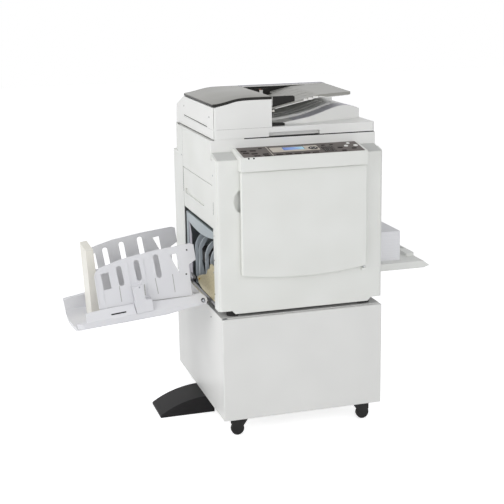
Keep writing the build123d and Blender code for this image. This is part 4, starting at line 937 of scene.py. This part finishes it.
# Painted shade: black strips in the front cover's vent slots
plates(
    "front_cover_vent",
    FRONT_COVER_SIDE,
    [rectangle(292.8, 846, 295.2, 892), rectangle(292.6, 765, 295.4, 771)],
    0.2,
    GAP_SHADE_BLACK,
    "machine",
)
screws("front_cover_screw", FRONT_COVER_SIDE, [(296.7, 989.6)], 3.6, "machine")
screws("rear_cover_side_screw", left_board(-318), [(-190.3, 994.5)], 3.6, "machine")
# Dark dots of painted shade, drawn where the covers show small dark spots
DARK_DOT = ((2.6, -0.5), (2.6, 0.4), (2.1, 0.7))
turned(
    "front_cover_dark_dots",
    FRONT_COVER_SIDE,
    [(291.6, 677), (288.7, 548.6)],
    DARK_DOT,
    GAP_SHADE_BLACK,
    "machine",
)
turned(
    "cabinet_dark_dot", left_board(-312.5), [(191.5, 433)], DARK_DOT, GAP_SHADE_BLACK, "machine"
)
FEEDER_SIDE = left_board(-305)
# Painted shade: a black strip along the feeder's side slot
plates(
    "feeder_side_slot",
    FEEDER_SIDE,
    [stripe(-182, 1152.6, 174, 1149, 3)],
    0.3,
    GAP_SHADE_BLACK,
    "lid",
)
# Dark dots of painted shade on the feeder's side
FEEDER_DARK_DOTS = [(-180, 1188), (206.6, 1187)]
turned("feeder_side_dark_dots", FEEDER_SIDE, FEEDER_DARK_DOTS, DARK_DOT, GAP_SHADE_BLACK, "lid")
plates(
    "feeder_seam_left",
    FEEDER_SIDE,
    [rectangle(-185, 1145.5, 255, 1146.3)],
    0.15,
    SEAM_GREY,
    "lid",
)
plates(
    "feeder_seam_front",
    front_board(-261),
    [rectangle(-292, 1145.5, -86, 1146.4)],
    0.15,
    SEAM_GREY,
    "lid",
)
# Painted light: a pale strip that fills the gap under the lid where the gap shows pale
plates(
    "lid_gap_painted_light",
    front_board(-260),
    [rectangle(-300, 1107.8, -190.5, 1111.6)],
    0,
    ABS_LID,
    "machine",
    sink=6,
)
SHELF = board((0, -338, 1046), (1, 0, 0), (0, 77, 20))
SHELVES = [rounded(-312, 5, -238.5, 78, 3), rounded(241.5, 5, 312, 78, 3)]
# Grey plates of painted shade on the shelves' tops
plates("wing_shelf_painted_shade", SHELF, SHELVES, 0.4, SHELF_PAINTED_SHADE, "machine")
# Painted shade: black strips set into the gap under the lid, where the gap shows dark
plates(
    "lid_gap_shade_left",
    left_board(-302),
    [rectangle(-207, 1107.8, 197, 1111.6)],
    0,
    GAP_SHADE_BLACK,
    "machine",
    sink=6,
)
plates(
    "lid_gap_shade_front",
    front_board(-259.5),
    [rectangle(-190, 1107.8, 313, 1111.6)],
    0,
    GAP_SHADE_BLACK,
    "machine",
    sink=6,
)

# Back of the machine, which the photograph does not show: louvres and panel screws

REAR = back_board(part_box("rear_cover")[1].y * 1000)
# The louvres' slots are black strips of painted shade
LOUVRES = [rounded(60, z, 190, z + 4, 1.9) for z in range(560, 660, 9)]
plates("rear_louvres", REAR, LOUVRES, 0.3, GAP_SHADE_BLACK, "machine")
REAR_SCREWS = [(x, z) for x in (-280, 280) for z in (530, 760, 980)]
screws("rear_cover_screws", REAR, REAR_SCREWS, 4, "machine")

# Delivery side: bracket, plates in the opening, fences and tray

plates(
    "bracket_flange",
    left_board(-312),
    [rectangle(-163, 769, 261, 772.8)],
    0.6,
    ENAMEL_BLUE,
    "machine",
    sink=6,
)
OPENING = left_board(-308)
WARM_PLATE = [
    (262, 640),
    (244, 636),
    (148, 608),
    (121, 581),
    (20, 553),
    (-21, 534),
    (0.6, 517),
    (112, 496),
    (236, 498),
    (262, 498),
]
plates(
    "galvanised_shield",
    OPENING,
    [WARM_PLATE],
    1.5,
    GALVANISED,
    "machine",
    sink=1.0,
)
POST = [(-163, 500), (-96, 500), (-96, 690), (-126, 742), (-163, 745)]
plates("rear_post_plate", OPENING, [POST], 1.5, ABS_LILAC, "machine", sink=1.0)
BLOCK = [(-123, 529), (-110, 518), (-51, 514), (-33, 534)]
plates("belt_end_block", OPENING, [BLOCK], 2.5, ABS_BLACK, "machine", sink=1.0)
STUD = ((4, -0.5), (4, 2.4), (3.2, 3.2), (1.2, 3.2), (1.0, 2.4))
turned("shield_stud", left_board(-309.5), [(18, 537)], STUD, BRASS, "machine")
screws("shield_screws", left_board(-309.5), [(240, 618), (240, 516)], 3.4, "machine")
screws("post_screws", left_board(-309.5), [(-150, 716)], 3.4, "machine")

# The delivery tray's slope, and its hinge
TILT = radians(9)
HINGE_X, HINGE_Z = -359, 521


def fence_board(y):
    """Upright board in the tilted tray's directions: x towards the machine, 0 at the tray's hinge."""
    return board((HINGE_X, y, HINGE_Z), (cos(TILT), 0, sin(TILT)), (-sin(TILT), 0, cos(TILT)))


NEAR_FENCE = fence_board(-199)
RIBS = [stripe(-239, 196, -244, 41.5, 3.5), stripe(-178.6, 194, -184, 51.5, 3.5)]
RIBS += [stripe(-363, 172, -370, 46, 4), stripe(-345, 113, -347, 56, 2.5)]
plates(
    "near_fence_ribs",
    NEAR_FENCE,
    RIBS,
    1.6,
    STYRENE_TRAY,
    "near_side_fence",
    bevel=0.5,
)
GROOVES = [stripe(-283, 113, -286, 52.6, 2.2), stripe(-148, 110, -147.6, 48, 2.2)]
GROOVES += [stripe(-82, 108, -85, 38, 2.2), stripe(-342, 42, -262, 34, 1.6)]
GROOVES += [stripe(-174, 27.5, -25, 9, 1.6)]
plates("near_fence_grooves", NEAR_FENCE, GROOVES, 0.2, SEAM_GREY, "near_side_fence")
# Painted shade: dark dots in the fence's holes
FENCE_DARK_DOT = ((3.2, -0.5), (3.2, 0.3), (2.4, 0.5))
FENCE_HOLES = [(-12.8, 185.3), (-31.2, 95.3)]
turned(
    "near_fence_dark_dots",
    NEAR_FENCE,
    FENCE_HOLES,
    FENCE_DARK_DOT,
    GAP_SHADE_BLACK,
    "near_side_fence",
)
CLIP_FACE = fence_board(-229)
screws("clip_screw", CLIP_FACE, [(-215.9, 98.5)], 4, "near_side_fence")
plates(
    "clip_slot",
    CLIP_FACE,
    [stripe(-196.3, 105, -200.4, 64, 3)],
    0.2,
    SEAM_GREY,
    "near_side_fence",
)
SILL = board((-665.7, -219.05, 491.5), (56.2, 0.3, 5.3), (0, 0.6, 0.8))
# Painted shade: a black strip in the tray sill's slot
plates(
    "tray_sill_slot",
    SILL,
    [rounded(-28, -2.6, 28, 2.6, 2.5)],
    0.3,
    GAP_SHADE_BLACK,
    "delivery_tray",
)

# Studio

# The photograph's camera: its turn, place in millimetres, and focal length in pixels of a 504 pixel frame
YAW = radians(16.594)
PITCH = radians(13.874)
ROLL = radians(-0.932)
CAMERA_PLACE = (-1316.2, -4114.0, 1681.3)
FOCAL_PIXELS, FRAME_PIXELS = 1121.9, 504
SENSOR = 36.0
FAR_CLIP = 60.0

# Strength of the studio's light at the horizon and overhead, and of the floor's own white
SKY_LOW, SKY_HIGH = 0.9, 0.3
FLOOR_GLOW = 0.65
# Half the floor's side in metres, and how far it lies under the wheels
FLOOR_HALF, FLOOR_DROP = 14.0, 0.0005


def photograph_camera():
    """The camera at the photograph's place, solved from the cabinet's edges."""
    forward = Vector((sin(YAW) * cos(PITCH), cos(YAW) * cos(PITCH), -sin(PITCH)))
    level = Vector((cos(YAW), -sin(YAW), 0))
    upright = level.cross(forward)
    right = cos(ROLL) * level + sin(ROLL) * upright
    up = -sin(ROLL) * level + cos(ROLL) * upright
    data = bpy.data.cameras.new("photograph_camera")
    data.sensor_width = SENSOR
    data.lens = FOCAL_PIXELS / FRAME_PIXELS * SENSOR
    data.clip_end = FAR_CLIP
    camera = bpy.data.objects.new("photograph_camera", data)
    bpy.context.scene.collection.objects.link(camera)
    turn = Matrix((right, up, -forward)).transposed().to_4x4()
    camera.matrix_world = Matrix.Translation(place(*CAMERA_PLACE)) @ turn
    bpy.context.scene.camera = camera


def studio_world():
    """White for the eye, gloss and glass, and a softer light on the object, strongest low down."""
    world = bpy.data.worlds.new("studio_white")
    world.use_nodes = True
    tree = world.node_tree
    tree.nodes.clear()
    output = add_node(tree, "ShaderNodeOutputWorld")
    rays = add_node(tree, "ShaderNodeLightPath")
    shining = add_node(
        tree,
        "ShaderNodeMath",
        {0: rays.outputs["Is Glossy Ray"], 1: rays.outputs["Is Transmission Ray"]},
        operation="MAXIMUM",
    )
    seen = add_node(
        tree,
        "ShaderNodeMath",
        {0: rays.outputs["Is Camera Ray"], 1: shining.outputs["Value"]},
        operation="MAXIMUM",
    )
    where = add_node(tree, "ShaderNodeTexCoord")
    split = add_node(tree, "ShaderNodeSeparateXYZ", {"Vector": where.outputs["Generated"]})
    height = add_node(
        tree,
        "ShaderNodeMapRange",
        {"Value": split.outputs["Z"], "To Min": SKY_LOW, "To Max": SKY_HIGH},
    )
    light = add_node(
        tree,
        "ShaderNodeBackground",
        {"Color": colour("#f7f8fb"), "Strength": height.outputs["Result"]},
    )
    backdrop = add_node(
        tree,
        "ShaderNodeBackground",
        {"Color": (1.0, 1.0, 1.0, 1.0), "Strength": 1.0},
    )
    mixed = add_node(
        tree,
        "ShaderNodeMixShader",
        {
            "Fac": seen.outputs["Value"],
            1: light.outputs["Background"],
            2: backdrop.outputs["Background"],
        },
    )
    tree.links.new(mixed.outputs["Shader"], output.inputs["Surface"])
    bpy.context.scene.world = world


def studio_floor():
    """A white floor that keeps only the object's own soft shadow."""
    mesh = bpy.data.meshes.new("studio_floor")
    sides = ((-1, -1), (1, -1), (1, 1), (-1, 1))
    corners = [(x * FLOOR_HALF, y * FLOOR_HALF, 0) for x, y in sides]
    mesh.from_pydata(corners, [], [(0, 1, 2, 3)])
    floor = bpy.data.objects.new("studio_floor", mesh)
    floor.location = (0, 0, -FLOOR_DROP)
    bpy.context.scene.collection.objects.link(floor)
    material, tree, output = new_material("studio_floor_white")
    matt = add_node(tree, "ShaderNodeBsdfDiffuse", {"Color": colour("#f4f4f4")})
    glow = add_node(
        tree,
        "ShaderNodeEmission",
        {"Color": (1.0, 1.0, 1.0, 1.0), "Strength": FLOOR_GLOW},
    )
    rays = add_node(tree, "ShaderNodeLightPath")
    seen = add_node(
        tree,
        "ShaderNodeMath",
        {0: rays.outputs["Is Camera Ray"], 1: rays.outputs["Is Glossy Ray"]},
        operation="MAXIMUM",
    )
    both = add_node(
        tree,
        "ShaderNodeAddShader",
        {0: matt.outputs["BSDF"], 1: glow.outputs["Emission"]},
    )
    mixed = add_node(
        tree,
        "ShaderNodeMixShader",
        {"Fac": seen.outputs["Value"], 1: matt.outputs["BSDF"], 2: both.outputs["Shader"]},
    )
    tree.links.new(mixed.outputs["Shader"], output.inputs["Surface"])
    mesh.materials.append(material)


def soft_light(name, spot, target, size, power):
    """A large soft box that looks at a point of the machine."""
    data = bpy.data.lights.new(name, "AREA")
    data.shape = "RECTANGLE"
    data.size, data.size_y = size
    data.energy = power
    lamp = bpy.data.objects.new(name, data)
    lamp.location = place(*spot)
    direction = place(*target) - lamp.location
    lamp.rotation_mode = "QUATERNION"
    lamp.rotation_quaternion = direction.to_track_quat("-Z", "Y")
    bpy.context.scene.collection.objects.link(lamp)


photograph_camera()
studio_world()
studio_floor()
soft_light("softbox_left", (-3100, -1100, 2100), (0, 0, 700), (2.6, 2.4), 45)
soft_light("softbox_front", (400, -3700, 1900), (0, 0, 700), (3.0, 2.4), 28)
soft_light("softbox_top", (0, -200, 3600), (0, 0, 900), (3.0, 3.0), 8)
bpy.context.scene.view_settings.view_transform = "Standard"
